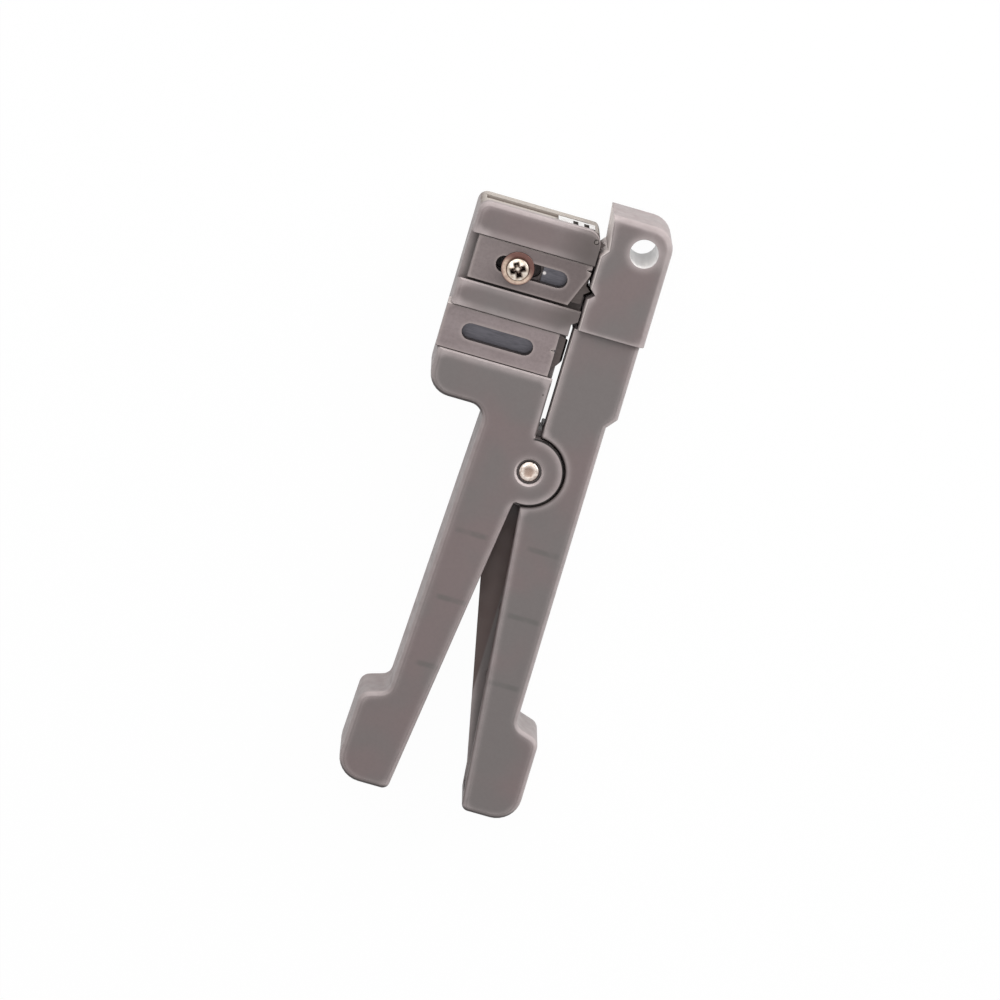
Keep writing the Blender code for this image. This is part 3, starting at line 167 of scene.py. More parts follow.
class Paint(NodeTree):
    # one material round a Principled shader
    def __init__(self, name, fixed):
        super().__init__(bpy.data.materials.new(name))
        self.shader = self.tree.nodes["Principled BSDF"]
        for socket, value in fixed.items():
            self.shader.inputs[socket].default_value = value
        self.here = self.node(
            "ShaderNodeVectorMath",
            {"operation": "SCALE"},
            {0: self.node("ShaderNodeTexCoord", output="Object"), "Scale": 1 / mm},
        )
        self.x, self.y, self.z = self.axes(self.here)
        self.nx, self.ny, self.nz = self.axes(
            self.node(
                "ShaderNodeVectorTransform",
                {"vector_type": "NORMAL", "convert_from": "WORLD", "convert_to": "OBJECT"},
                {0: self.node("ShaderNodeNewGeometry", output="Normal")},
            )
        )

    def into(self, socket, value):
        self.feed(self.shader.inputs[socket], value)

    def axes(self, vector):
        x = self.node("ShaderNodeSeparateXYZ", None, {0: vector})
        return x, x.other(1), x.other(2)

    def between(self, value, low, high, a=0.0, b=1.0):
        # value runs low to high, the result smoothly a to b
        ends = {"From Min": low, "From Max": high, "To Min": a, "To Max": b}
        return self.node(
            "ShaderNodeMapRange", {"interpolation_type": "SMOOTHSTEP"}, {"Value": value, **ends}
        )

    def below(self, value, low, high, share=1.0):
        # share up to low, fading to 0 at high
        return self.between(value, low, high, share, 0.0)

    def band(self, value, low, high, soft):
        # 1 from low to high, fading over soft on both sides
        rise = self.between(value, low - soft, low + soft)
        return rise * self.below(value, high - soft, high + soft)

    def away(self, centre):
        # the way along X and along Y from an upright axis
        return self.x - centre[0], self.y - centre[1]

    def reach(self, centre):
        # distance from an upright axis
        dx, dy = self.away(centre)
        return self.maths("SQRT", dx * dx + dy * dy)

    def mix(self, share, a, b):
        # the node's colours are its sockets 6 and 7, and its output 2
        return self.node("ShaderNodeMix", {"data_type": "RGBA"}, {0: share, 6: a, 7: b}, 2)

    def noise(self, scale, detail, rough=0.5, stretch=(1.0, 1.0, 1.0)):
        where = self.node(
            "ShaderNodeVectorMath", {"operation": "MULTIPLY"}, {0: self.here, 1: stretch}
        )
        return self.node(
            "ShaderNodeTexNoise",
            None,
            {"Vector": where, "Scale": scale, "Detail": detail, "Roughness": rough},
        )

    def openness(self, width, inside):
        # 1 where the piece itself leaves the space open, in front or on its inside
        return self.node(
            "ShaderNodeAmbientOcclusion",
            {"inside": inside, "samples": shading["gapSamples"], "only_local": True},
            {"Distance": width * mm},
            "AO",
        )

    def thin(self, width):
        # 1 along outer edges, where little material lies behind the surface
        edge = self.below(self.openness(width, True), *shading["thinSpan"])
        level = self.between(abs(self.nz), *shading["thinTilt"])
        return edge * level + shading["thinUpright"] * (1.0 - level)

    def hollow(self, width):
        # 1 in narrow gaps and pockets of the piece itself
        return self.below(self.openness(width, False), *shading["hollowSpan"])

    def roughness(self, pattern, low, high):
        self.into("Roughness", self.between(pattern, *shading["roughSpan"], low, high))

    def bump(self, height, strength, depth, softEdge):
        samples = {"samples": shading["edgeSamples"]}
        soft = self.node("ShaderNodeBevel", samples, {"Radius": softEdge * mm})
        inputs = {"Height": height, "Strength": strength, "Distance": depth * mm}
        self.into("Normal", self.node("ShaderNodeBump", None, {**inputs, "Normal": soft}))


finer = {
    "mergeWithin": 0.002,
    "flatWithin": 0.5,  # degrees between triangles that join into one face
    "roundFrom": 35,  # degrees of turn from which an edge is rounded
    "roundSteps": 2,
    "flatWeight": 80,
}


def softCorners(mesh, limit):
    # a corner takes the mean of the faces round it that turn less than limit, large ones most
    faces = mesh.polygons
    around = [[] for _ in mesh.vertices]
    for face in faces:
        for vertex in face.vertices:
            around[vertex].append(face)
    corners = [None] * len(mesh.loops)
    for face in faces:
        for loop, vertex in zip(face.loop_indices, face.vertices):
            near = [f for f in around[vertex] if f.normal.angle(face.normal, 0) < limit]
            total = sum((f.normal * f.area for f in near), Vector())
            corners[loop] = total.normalized() if total.length > 0 else face.normal
    mesh.normals_split_custom_set(corners)


def roundEdges(piece, width):
    # geometry for small soft edges, with the flat faces still shaded flat
    bevel = piece.modifiers.new("rounding", "BEVEL")
    bevel.width = width * mm
    bevel.segments = finer["roundSteps"]
    bevel.limit_method = "ANGLE"
    bevel.angle_limit = math.radians(finer["roundFrom"])
    bevel.harden_normals = True
    weighted = piece.modifiers.new("flatFaces", "WEIGHTED_NORMAL")
    weighted.keep_sharp = True
    weighted.weight = finer["flatWeight"]


def dress(node, material, rounding=0.0, smoothTo=40, bends=None):
    # a finer copy of a CAD node: triangles joined into faces, edges rounded or shaded soft
    mesh = frame["nodes"][node].data.copy()
    mesh.name = node + "_fine"
    work = bmesh.new()
    work.from_mesh(mesh)
    bmesh.ops.remove_doubles(work, verts=work.verts, dist=finer["mergeWithin"] * mm)
    flat = math.radians(finer["flatWithin"])
    bmesh.ops.dissolve_limit(work, angle_limit=flat, verts=work.verts, edges=work.edges)
    work.to_mesh(mesh)
    work.free()
    piece = addObject(node + "_fine", mesh)
    mesh.materials.clear()
    mesh.materials.append(material)
    mesh.shade_smooth()
    if rounding:
        mesh.set_sharp_from_angle(angle=math.radians(smoothTo))
        roundEdges(piece, rounding)
    else:
        softCorners(mesh, math.radians(smoothTo))
    if bends:
        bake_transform(piece)
    else:
        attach(piece, frame["nodes"][node]["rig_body"])
    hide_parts(node)


# Moulded arms: warm grey plastic, with painted light where it is thin and painted shade in faint
# lines over the ribs

pivotAt = (3.9, 8.65)

armPlastic = {
    "specular": 0.3,
    "face": toLinear(119, 109, 109),
    "faceShare": 0.45,
    "rosy": toLinear(123, 108, 107),
    "cool": toLinear(112, 109, 107),
    "cloudNoise": (0.055, 2.0),
    "cloudSpan": (0.38, 0.62),
    "speck": toLinear(98, 92, 90),
    "speckNoise": (1.6, 3.0, 0.6),
    "speckSpan": (0.3, 0.75, 0.0, 0.12),
    # painted shade where the ribs inside the handles show through
    "line": toLinear(92, 91, 88),
    "lineY": (-7.35, -22.35, -37.35),  # of the ribs inside the handles
    "lineFade": (0.22, 0.88),  # from the middle of a line
    "lineBand": (4.4, 11.2, 0.7),  # along X from the pivot
    "lineTilt": (0.85, 0.97),
    "lineNoise": (0.35, 2.0),
    "lineBreaks": (0.3, 0.6, 0.4, 1.0),
    "lineShare": 0.55,
    # painted highlight along thin rims and eased edges, in patches
    "rim": toLinear(192, 180, 179),
    "rimWidth": 2.4,
    "rimShare": 0.75,
    "wearNoise": (0.5, 3.0),
    "wearSpan": (0.25, 0.7, 0.75, 1.0),
    "jawBand": (34.0, 58.0, 2.0),
    "jawRight": (3.0, 5.0),
    "jawLeft": (-19.5, -17.0),
    "jawLoss": 0.5,  # the painted highlights on the jaw's rims are this much fainter, except on its left
    "easeBand": (0.1, 0.93, 0.06),
    "easeShare": 0.45,
    # painted shade on the sides that face the tool's bottom end
    "under": toLinear(52, 45, 44),
    "underTilt": (0.25, 0.6, 0.0, 0.85),
    "shade": toLinear(58, 48, 46),
    "hollowWidth": 3.0,
    "hollowShare": 0.45,
    "rough": (0.42, 0.56),
    "roughNoise": (0.4, 3.0),
    "grainNoise": (9.0, 3.0, 0.6),
    "pitNoise": (3.0, 2.0),
    "pitShare": 0.5,
    "bump": (0.25, 0.05, 0.22),
}

bladeArm = {
    # painted light on the shelf behind the jaw's front wall, with painted shade next to that
    # wall
    "shelf": toLinear(160, 151, 143),
    "shelfDark": toLinear(112, 98, 90),
    "shelfY": (59.9, 60.1),
    "shelfZ": (15.2, 15.5),
    "shelfLight": (60.0, 60.85),
    "facing": (0.2, 0.5),
    "jawEnd": toLinear(90, 82, 80),  # painted shade at the end of the ribs by the blades
    "jawEndX": (-6.0, 4.2),
    "jawEndY": (38.0, 43.0),
    "jawEndShare": 0.9,
    # painted shade along the jaw's face by the clamp arm
    "seamX": 3.05,
    "seamFade": (0.1, 0.45),
    "seamBand": (16.5, 28.2, 0.3),
    "seamShare": 0.8,
    "front": (17.4, 17.7),
    "earGap": toLinear(26, 21, 20),
    "earSpan": (6.86, 7.04),
    "earEnd": (7.3, 7.5),
    "earX": (2.6, 3.2),
    "sinkBand": (2.68, 3.08, 0.08),
    "sinkShare": 0.85,
    "dotAt": (2.05, 25.35),
    "dotSpan": (0.1, 0.32, 0.7),
}

clampArm = {
    "front": (16.9, 17.2),
    "gapSpan": (7.6, 8.35),
    "lit": toLinear(226, 216, 212),
    "innerTilt": (0.25, 0.5),
    "innerX": (6.8, 7.4),
    "innerBand": (18.0, 61.5, 1.0),
    "innerShare": 0.8,
    "headTilt": (0.5, 0.8),
    "headY": (56.0, 59.0),
    "headShare": 0.9,
    "plate": toLinear(99, 85, 82),  # painted shade on the guard plate and the inner wall of the handle
    "plateBand": (7.6, 10.9, 0.05),
    "plateX": (6.0, 6.5),
    "plateY": (-6.0, 0.0),
    "wallTilt": (0.75, 0.95, 0.0, 0.7),
    "holeAt": (13.9, 60.05),
    "holeSpan": (3.3, 3.5),
    "holeTilt": (0.3, 0.6),
    "holeWall": toLinear(250, 246, 244),
    "holeRough": 0.16,
}


def armBase(paint, look):
    # clouds and specks, with painted shade over the rib lines, under the edges and in gaps, and
    # painted highlights on the rims, as one colour
    cloud = paint.between(paint.noise(*look["cloudNoise"]), *look["cloudSpan"])
    colour = paint.mix(cloud, look["rosy"], look["cool"])
    colour = paint.mix(look["faceShare"], colour, look["face"])
    speck = paint.between(paint.noise(*look["speckNoise"]), *look["speckSpan"])
    colour = paint.mix(speck, colour, look["speck"])

    # painted shade in faint lines over the ribs inside the handles
    lines = [paint.below(abs(paint.y - y), *look["lineFade"]) for y in look["lineY"]]
    line = paint.most(*lines) * paint.band(abs(paint.x - pivotAt[0]), *look["lineBand"])
    line = line * paint.between(paint.noise(*look["lineNoise"]), *look["lineBreaks"])
    line = line * paint.between(abs(paint.nz), *look["lineTilt"])
    colour = paint.mix(line * look["lineShare"], colour, look["line"])

    # painted highlights on thin rims and eased edges, in patches, fainter on the jaw
    wear = paint.between(paint.noise(*look["wearNoise"]), *look["wearSpan"])
    jaw = paint.band(paint.y, *look["jawBand"]) * paint.below(paint.x, *look["jawRight"])
    jaw = jaw * paint.between(paint.x, *look["jawLeft"])
    rims = paint.thin(look["rimWidth"]) * wear * (1.0 - look["jawLoss"] * jaw)
    colour = paint.mix(rims * look["rimShare"], colour, look["rim"])
    eased = paint.band(paint.nz, *look["easeBand"]) * wear
    colour = paint.mix(eased * look["easeShare"], colour, look["rim"])
    # painted shade on the sides that face the tool's bottom end
    under = paint.between(-paint.ny, *look["underTilt"])
    colour = paint.mix(under, colour, look["under"])
    hollow = paint.hollow(look["hollowWidth"])
    return paint.mix(hollow * look["hollowShare"], colour, look["shade"])


def finishArm(paint, look, colour, glossy=None):
    # glossy is the mask of a smoother wall, and its roughness
    paint.into("Base Color", colour)
    blotch = paint.noise(*look["roughNoise"])
    rough = paint.between(blotch, *shading["roughSpan"], *look["rough"])
    if glossy:
        mask, smooth = glossy
        rough = rough * (1.0 - mask) + mask * smooth
    paint.into("Roughness", rough)
    pits = look["pitShare"] * paint.noise(*look["pitNoise"])
    paint.bump(paint.noise(*look["grainNoise"]) + pits, *look["bump"])
    return paint.owner


def paintBladeArm(look, own):
    paint = Paint("bladeArmPlastic", {"Specular IOR Level": look["specular"]})
    colour = armBase(paint, look)

    # painted light on the shelf, going over into painted shade next to the front wall
    shelf = paint.between(paint.y, *own["shelfY"]) * paint.below(paint.z, *own["shelfZ"])
    light = paint.between(paint.y, *own["shelfLight"])
    colour = paint.mix(shelf, colour, paint.mix(light, own["shelfDark"], own["shelf"]))

    facing = paint.between(paint.nz, *own["facing"])
    # painted shade at the ends of the ribs by the blades
    end = paint.between(paint.x, *own["jawEndX"]) * paint.between(paint.y, *own["jawEndY"])
    colour = paint.mix(end * facing * own["jawEndShare"], colour, own["jawEnd"])
    # painted shade along the jaw's face beside the gap to the clamp arm
    seam = paint.below(own["seamX"] - paint.x, *own["seamFade"])
    seam = seam * paint.band(paint.y, *own["seamBand"]) * facing
    colour = paint.mix(seam * own["seamShare"], colour, look["shade"])

    # round the pivot: painted shade in the gap beside the ear and a painted highlight on the rim
    # of the pin's sink
    out = paint.reach(pivotAt)
    front = paint.between(paint.z, *own["front"])
    ear = paint.between(out, *own["earSpan"]) * paint.below(out, *own["earEnd"])
    ear = ear * paint.between(paint.x, *own["earX"])
    colour = paint.mix(ear * front, colour, own["earGap"])
    sink = paint.band(out, *own["sinkBand"]) * front
    colour = paint.mix(sink * own["sinkShare"], colour, look["rim"])
    # a small spot of painted shade on the front
    dot = paint.below(paint.reach(own["dotAt"]), *own["dotSpan"])
    return finishArm(paint, look, paint.mix(dot * front, colour, look["shade"]))


def paintClampArm(look, own):
    paint = Paint("clampArmPlastic", {"Specular IOR Level": look["specular"]})
    colour = armBase(paint, look)
    # painted shade on the front round the ear's gap
    gap = paint.below(paint.reach(pivotAt), *own["gapSpan"])
    colour = paint.mix(gap * paint.between(paint.z, *own["front"]), colour, look["shade"])

    # lit edge along the jaws and lit side of the head
    inner = paint.between(-paint.nx, *own["innerTilt"])
    inner = inner * paint.between(paint.nz, *own["innerTilt"])
    inner = inner * paint.below(paint.x, *own["innerX"]) * paint.band(paint.y, *own["innerBand"])
    colour = paint.mix(inner * own["innerShare"], colour, own["lit"])
    head = paint.between(-paint.nx, *own["headTilt"]) * paint.between(paint.y, *own["headY"])
    colour = paint.mix(head * own["headShare"], colour, own["lit"])

    # painted shade on the guard plate and on the handle's inner wall
    plate = paint.band(paint.z, *own["plateBand"]) * paint.below(paint.x, *own["plateX"])
    dark = paint.most(plate, paint.between(-paint.nx, *own["wallTilt"]))
    colour = paint.mix(dark * paint.below(paint.y, *own["plateY"]), colour, own["plate"])

    # painted light on the hanging hole's wall, which is also made smoother
    hole = paint.below(paint.reach(own["holeAt"]), *own["holeSpan"])
    hole = hole * paint.below(abs(paint.nz), *own["holeTilt"])
    colour = paint.mix(hole, colour, own["holeWall"])
    return finishArm(paint, look, colour, (hole, own["holeRough"]))


dress("blade_arm", paintBladeArm(armPlastic, bladeArm), smoothTo=42)
dress("clamp_arm", paintClampArm(armPlastic, clampArm), smoothTo=42)
print("arms dressed")


# Cassettes: the same plastic, changing from left to right, with painted shade inside the slot,
# painted highlights on thin rims and painted light on the sides that face the jaw's top

cassettePlastic = {
    "specular": 0.35,
    "span": (-22.0, 3.0),
    "vein": toLinear(116, 104, 103),
    "veinNoise": (0.6, 3.0, 0.5, (0.25, 0.8, 0.8)),
    "veinSpan": (0.4, 0.75, 0.0, 0.35),
    "speckNoise": (1.8, 3.0, 0.6),
    "speckSpan": (0.35, 0.75, 0.0, 0.14),
    "rim": toLinear(172, 160, 157),
    "rimWidth": 1.1,
    "rimShare": 0.6,
    # dark tone of the specks, and the painted shade of the slot's walls
    "wall": toLinear(34, 27, 27),
    "wallTilt": (0.3, 0.7),
    "wallSpan": (1.85, 2.0),  # from the middle of the slot
    "wallShare": 0.92,
    # painted light on the sides that face the jaw's top
    "lit": toLinear(214, 204, 200),
    "litTilt": (0.5, 0.8),
    "litSpan": (2.0, 3.0),
    "litShare": 0.8,
    "rough": (0.42, 0.55),
    "grainNoise": (9.0, 3.0, 0.6),
    "bump": (0.25, 0.05, 0.12),
}

upperCassette = {
    **cassettePlastic,
    "left": toLinear(131, 120, 119),
    "right": toLinear(106, 95, 94),
    "slotBand": (-15.35, 0.15, 0.2),
    "slotY": 49.75,
}
lowerCassette = {
    **cassettePlastic,
    "left": toLinear(140, 128, 128),
    "right": toLinear(144, 131, 131),
    "slotBand": (-18.2, -2.7, 0.2),
    "slotY": 34.0,
}


def paintCassette(name, look):
    paint = Paint(name, {"Specular IOR Level": look["specular"]})
    colour = paint.mix(paint.between(paint.x, *look["span"]), look["left"], look["right"])
    vein = paint.noise(*look["veinNoise"])
    colour = paint.mix(paint.between(vein, *look["veinSpan"]), colour, look["vein"])
    speck = paint.between(paint.noise(*look["speckNoise"]), *look["speckSpan"])
    colour = paint.mix(speck, colour, look["wall"])
    # painted highlight along thin rims
    colour = paint.mix(paint.thin(look["rimWidth"]) * look["rimShare"], colour, look["rim"])

    # painted shade on the slot's walls, and painted light on the sides facing the jaw's top
    # outside the slot
    away = abs(paint.y - look["slotY"])
    slot = paint.band(paint.x, *look["slotBand"])
    slot = slot * paint.below(abs(paint.nz), *look["wallTilt"])
    wall = slot * paint.below(away, *look["wallSpan"])
    colour = paint.mix(wall * look["wallShare"], colour, look["wall"])
    lit = paint.between(paint.ny, *look["litTilt"])
    lit = lit * (1.0 - slot * paint.below(away, *look["litSpan"]))
    colour = paint.mix(lit * look["litShare"], colour, look["lit"])
    paint.into("Base Color", colour)
    paint.roughness(vein, *look["rough"])
    paint.bump(paint.noise(*look["grainNoise"]), *look["bump"])
    return paint.owner


upperFinish = paintCassette("upperCassettePlastic", upperCassette)
dress("upper_cassette", upperFinish, rounding=0.07, smoothTo=30)
lowerFinish = paintCassette("lowerCassettePlastic", lowerCassette)
dress("lower_cassette", lowerFinish, rounding=0.1, smoothTo=30)
print("cassettes dressed")


# Blades: dull blued steel, browner on their bare ends, with painted shade making the ground edge
# near black, and a painted glint

bladeSteel = {
    "metallic": 0.75,
    "flat": toLinear(94, 92, 98),
    "brushed": toLinear(80, 79, 84),
    "brushNoise": (1.2, 4.0, 0.5, (0.5, 6.0, 6.0)),
    "brushSpan": (0.4, 0.7, 0.0, 0.6),
    "bare": toLinear(84, 76, 74),
    "bareFade": 0.8,
    "ground": toLinear(28, 24, 23),
    "groundTilt": (0.6, 0.97),
    "worn": toLinear(214, 208, 206),  # painted glint in the upper slot
    "wornAt": (-4.8, 49.8),
    "wornSpan": (0.2, 0.5),
    "rough": (0.34, 0.5),
    "bump": (0.12, 0.02, 0.04),
}

upperBlade = {**bladeSteel, "bareFrom": 0.6}
lowerBlade = {**bladeSteel, "bareFrom": 1.6}
topBlade = {**bladeSteel, "bareFrom": -8.0}


def paintBlade(name, look):
    paint = Paint(name, {"Metallic": look["metallic"]})
    brushed = paint.noise(*look["brushNoise"])
    share = paint.between(brushed, *look["brushSpan"])
    colour = paint.mix(share, look["flat"], look["brushed"])
    start = look["bareFrom"]
    bare = paint.between(paint.x, start, start + look["bareFade"])
    colour = paint.mix(bare, colour, look["bare"])
    # painted shade on every face but the flat top, the ground edge among them
    colour = paint.mix(paint.below(paint.nz, *look["groundTilt"]), colour, look["ground"])
    # a painted glint on the upper blade
    worn = paint.below(paint.reach(look["wornAt"]), *look["wornSpan"])
    paint.into("Base Color", paint.mix(worn, colour, look["worn"]))
    paint.roughness(brushed, *look["rough"])
    paint.bump(brushed, *look["bump"])
    return paint.owner


dress("upper_blade", paintBlade("upperBladeSteel", upperBlade), smoothTo=20)
dress("lower_blade", paintBlade("lowerBladeSteel", lowerBlade), smoothTo=20)
dress("top_blade", paintBlade("topBladeSteel", topBlade), smoothTo=20)
print("blades dressed")


# Plated and bare metal, with fine turning marks, stains, and painted shade in the hollows

nickel = {
    "bright": toLinear(228, 218, 206),
    "dull": toLinear(190, 172, 156),
    "stainNoise": (0.9, 3.0),
    "stainSpan": (0.35, 0.7),
    "markNoise": (3.0, 4.0, 0.5, (1.0, 1.0, 6.0)),
    "rough": (0.16, 0.3),
    "bump": (0.12, 0.02, 0.08),
}


def paintMetal(name, look, tint=None):
    # tint adds what only this piece has
    paint = Paint(name, {"Metallic": 1.0})
    stain = paint.between(paint.noise(*look["stainNoise"]), *look["stainSpan"])
    colour = paint.mix(stain, look["bright"], look["dull"])
    marks = paint.noise(*look["markNoise"])
    paint.into("Base Color", tint(paint, colour, look) if tint else colour)
    paint.roughness(marks, *look["rough"])
    paint.bump(marks, *look["bump"])
    return paint.owner


clampScrew = {
    **nickel,
    "centre": (-10.6, 49.75),
    "faces": 1.0,  # 1 for a head that faces up
    "turn": 29.0,
    "across": (0.5, 0.95),
    "along": (1.45, 2.0),
    "headTilt": (-0.2, 0.1),
    "recess": toLinear(42, 34, 30),
    "recessPale": toLinear(104, 90, 82),
    "recessNoise": (2.4, 2.0),
    "recessSpan": (0.4, 0.62),
    "glint": (0.15, 0.55, 0.7),
    "rimSpan": (2.25, 2.45),
    "rimDark": toLinear(150, 132, 120),
}
lockScrew = {**clampScrew, "centre": (-10.6, 34.0), "faces": -1.0, "turn": -29.0}


def crossRecess(paint, colour, look):
    # painted shade in the cross of the recess, with a painted glint in it, and a line of painted
    # shade round the head
    turn = math.radians(look["turn"])
    dx, dy = paint.away(look["centre"])
    u = abs(dx * math.cos(turn) + dy * math.sin(turn))
    v = abs(dy * math.cos(turn) - dx * math.sin(turn))
    arms = []
    for across, along in ((u, v), (v, u)):
        arms.append(paint.below(across, *look["across"]) * paint.below(along, *look["along"]))
    head = paint.between(look["faces"] * paint.nz, *look["headTilt"])
    blotch = paint.between(paint.noise(*look["recessNoise"]), *look["recessSpan"])
    recess = paint.mix(blotch, look["recess"], look["recessPale"])
    colour = paint.mix(paint.most(*arms) * head, colour, recess)
    out = paint.reach(look["centre"])
    colour = paint.mix(paint.below(out, *look["glint"]), colour, look["bright"])
    return paint.mix(paint.between(out, *look["rimSpan"]), colour, look["rimDark"])


washer = {
    **nickel,
    "bright": toLinear(184, 164, 148),
    "dull": toLinear(150, 130, 118),
    "centre": (-10.6, 49.75),
    "lip": toLinear(130, 106, 98),
    "lipSpan": (3.05, 3.4),
    "brown": toLinear(98, 72, 67),
    "brownSpan": (-1.2, 1.9),
    "brownLean": 0.35,
    "rough": (0.28, 0.42),
}


def brownHalf(paint, colour, look):
    # painted reflection making the washer's half towards the jaw's top browner, and painted
    # shade on its lip
    dx, dy = paint.away(look["centre"])
    lip = paint.between(paint.reach(look["centre"]), *look["lipSpan"])
    colour = paint.mix(lip, colour, look["lip"])
    half = paint.between(dy + dx * look["brownLean"], *look["brownSpan"])
    return paint.mix(half, colour, look["brown"])


pivotPin = {
    **nickel,
    "bright": toLinear(226, 216, 208),
    "dull": toLinear(178, 162, 152),
    "stainNoise": (1.6, 3.0),
    "brown": toLinear(136, 114, 102),
    "brownSpan": (0.7, 1.6, 0.85),
    "side": toLinear(40, 33, 31),
    "sideSpan": (2.0, 2.14),
    "rough": (0.2, 0.36),
}


def dimple(paint, colour, look):
    # brownish dimple of the pin's head, and painted shade on its side
    out = paint.reach(pivotAt)
    colour = paint.mix(paint.below(out, *look["brownSpan"]), colour, look["brown"])
    return paint.mix(paint.between(out, *look["sideSpan"]), colour, look["side"])


steel = {
    **nickel,
    "bright": toLinear(225, 225, 224),
    "dull": toLinear(178, 178, 180),
    "stainNoise": (0.7, 3.0),
    "markNoise": (3.0, 4.0, 0.5, (6.0, 1.0, 1.0)),
    "rough": (0.18, 0.34),
    "bump": (0.12, 0.02, 0.06),
}
clip = {
    **steel,
    "bright": toLinear(250, 248, 246),
    "dull": toLinear(224, 220, 217),
    "side": toLinear(38, 32, 30),
    "sideTilt": (0.4, 0.8, 0.85),
    "rough": (0.22, 0.36),
}


def darkSides(paint, colour, look):
    # painted shade on the clip's notches and edges, against its bright top
    return paint.mix(paint.below(paint.ny, *look["sideTilt"]), colour, look["side"])


cornerPin = {
    **steel,
    "bright": toLinear(122, 115, 112),
    "dull": toLinear(98, 92, 90),
    "stainNoise": (1.8, 3.0),
    "rough": (0.4, 0.55),
}
bush = {
    **steel,
    "bright": toLinear(206, 172, 108),
    "dull": toLinear(168, 132, 76),
    "stainNoise": (0.8, 3.0),
    "markNoise": (3.0, 4.0, 0.5, (1.0, 1.0, 9.0)),
    "rough": (0.22, 0.38),
}
wire = {
    **steel,
    "bright": toLinear(170, 170, 172),
    "dull": toLinear(120, 118, 116),
    "stainNoise": (1.5, 3.0),
    "markNoise": (3.0, 4.0, 0.5, (2.0, 2.0, 8.0)),
    "rough": (0.25, 0.4),
}
# the spring winds up from its back leg, in the blade arm, to its front leg, in the clamp arm
springBends = {
    "bodies": ("blade_side", "clamp_side"),
    "start": (pivotAt[0] * mm, pivotAt[1] * mm, 4.6 * mm),
    "end": (pivotAt[0] * mm, pivotAt[1] * mm, 10.9 * mm),
}

screwFinish = paintMetal("clampScrewNickel", clampScrew, crossRecess)
lockFinish = paintMetal("lockScrewNickel", lockScrew, crossRecess)
washerFinish = paintMetal("washerNickel", washer, brownHalf)
pinFinish = paintMetal("pivotPinNickel", pivotPin, dimple)
steelFinish = paintMetal("brightSteel", steel)
clipFinish = paintMetal("clipSteel", clip, darkSides)
cornerFinish = paintMetal("cornerPinSteel", cornerPin)
bushFinish = paintMetal("bushBrass", bush)
springFinish = paintMetal("springWire", wire)

dress("clamp_screw", screwFinish)
dress("lock_screw", lockFinish)
dress("clamp_washer", washerFinish, rounding=0.1)
dress("pivot_pin", pinFinish)
dress("clamp_nut", steelFinish, rounding=0.15, smoothTo=30)
dress("lock_nut", steelFinish, rounding=0.15, smoothTo=30)
dress("pivot_washer", steelFinish, rounding=0.08)
dress("pivot_retainer", steelFinish, rounding=0.05)
dress("top_blade_clip", clipFinish, rounding=0.06, smoothTo=30)
dress("blade_pin_inner", steelFinish)
dress("blade_pin_middle", steelFinish)
dress("blade_pin_corner", cornerFinish)
dress("pivot_bush", bushFinish, rounding=0.1)
dress("torsion_spring", springFinish, smoothTo=80, bends=springBends)
print("metal pieces dressed")


# Floor, light and camera

studio = {
    "floorSize": 3000.0,
    "floorLow": -0.25,
    "floorTone": (0.93, 0.93, 0.93, 1.0),
    "floorRough": 0.9,
    "floorWhite": 0.975,  # share of plain white that the camera sees in the floor
    "worldTone": (1.0, 1.0, 1.0, 1.0),
    "worldStrength": 0.35,
}
lights = {
    "keyLight": {"energy": 3.0, "size": 900.0, "at": (-150.0, 260.0, 900.0)},
    "backLeftLight": {"energy": 3.6, "size": 700.0, "at": (-260.0, 800.0, 330.0)},
    "backRightLight": {"energy": 5.4, "size": 600.0, "at": (560.0, 560.0, 300.0)},
}
lightsAim = (0.0, 0.0, 10.0)
cameraSet = {
    "tilt": 12.0,
    "turn": 16.3,
    "distance": 1300.0,
    "aim": (-0.2886, 1.2419, 18.5),
    "focalPixels": 6175.0,
    "imagePixels": 1000.0,
    "sensor": 36.0,
    "clip": (0.01, 20.0),  # in metres
}


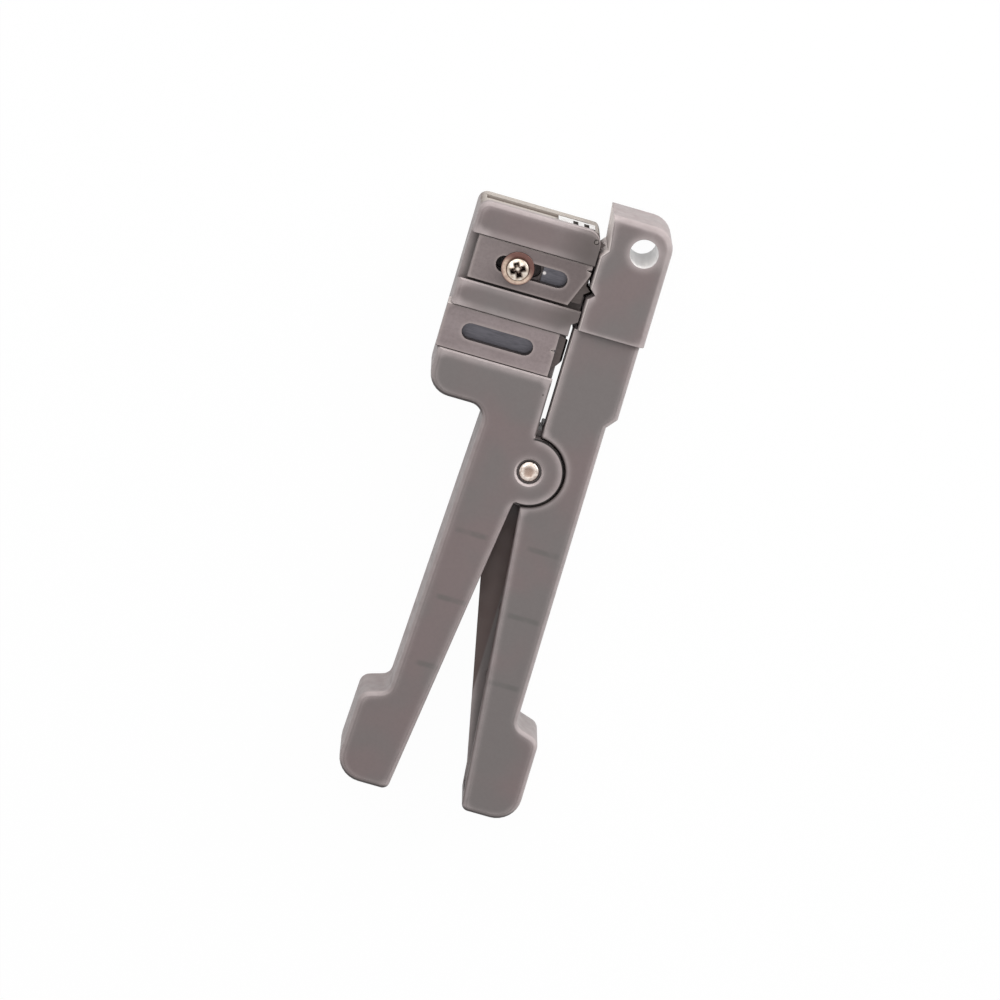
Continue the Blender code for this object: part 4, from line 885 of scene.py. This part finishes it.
def makeFloor():
    half, low = studio["floorSize"] / 2 * mm, studio["floorLow"] * mm
    mesh = bpy.data.meshes.new("floor")
    corners = [(-half, -half, low), (half, -half, low), (half, half, low), (-half, half, low)]
    mesh.from_pydata(corners, [], [(0, 1, 2, 3)])
    floor = addObject("floor", mesh)
    fixed = {"Base Color": studio["floorTone"], "Roughness": studio["floorRough"]}
    paint = Paint("floorPaper", fixed)
    share = paint.seenPlain() * studio["floorWhite"]
    paper = Wire(paint, paint.shader.outputs[0])
    white = paint.node("ShaderNodeEmission", None, {"Strength": 1.0})
    both = paint.node("ShaderNodeMixShader", None, {0: share, 1: paper, 2: white})
    paint.feed(paint.tree.nodes["Material Output"].inputs["Surface"], both)
    mesh.materials.append(paint.owner)


def makeWorld():
    world = bpy.data.worlds.new("studioWorld")
    sky = NodeTree(world)
    background = sky.tree.nodes["Background"]
    background.inputs["Color"].default_value = studio["worldTone"]
    low = studio["worldStrength"]
    sky.feed(background.inputs["Strength"], sky.seenPlain() * (1.0 - low) + low)
    scene.world = world


def softLight(name, energy, size, at):
    light = bpy.data.lights.new(name, "AREA")
    light.energy = energy
    light.size = size * mm
    lamp = addObject(name, light)
    lamp.location = Vector(at) * mm
    aim = (Vector(lightsAim) - Vector(at)).normalized()
    lamp.rotation_euler = aim.to_track_quat("-Z", "Y").to_euler()


def makeCamera():
    tilt, turn = math.radians(cameraSet["tilt"]), math.radians(cameraSet["turn"])
    right = Vector((math.cos(turn), math.sin(turn), 0))
    away = Vector((-math.sin(turn), math.cos(turn), 0))
    upright = Vector((0, 0, 1))
    towards = math.sin(tilt) * away + math.cos(tilt) * upright
    up = math.cos(tilt) * away - math.sin(tilt) * upright
    at = (Vector(cameraSet["aim"]) + towards * cameraSet["distance"]) * mm
    data = bpy.data.cameras.new("camera")
    data.sensor_width = cameraSet["sensor"]
    data.lens = cameraSet["focalPixels"] * cameraSet["sensor"] / cameraSet["imagePixels"]
    data.clip_start, data.clip_end = cameraSet["clip"]
    camera = addObject("camera", data)
    turned = Matrix((right, up, towards)).transposed().to_4x4()
    camera.matrix_world = Matrix.Translation(at) @ turned
    scene.camera = camera


makeFloor()
makeWorld()
for name, light in lights.items():
    softLight(name, **light)
makeCamera()
scene.view_settings.view_transform = "Standard"
print("studio ready")
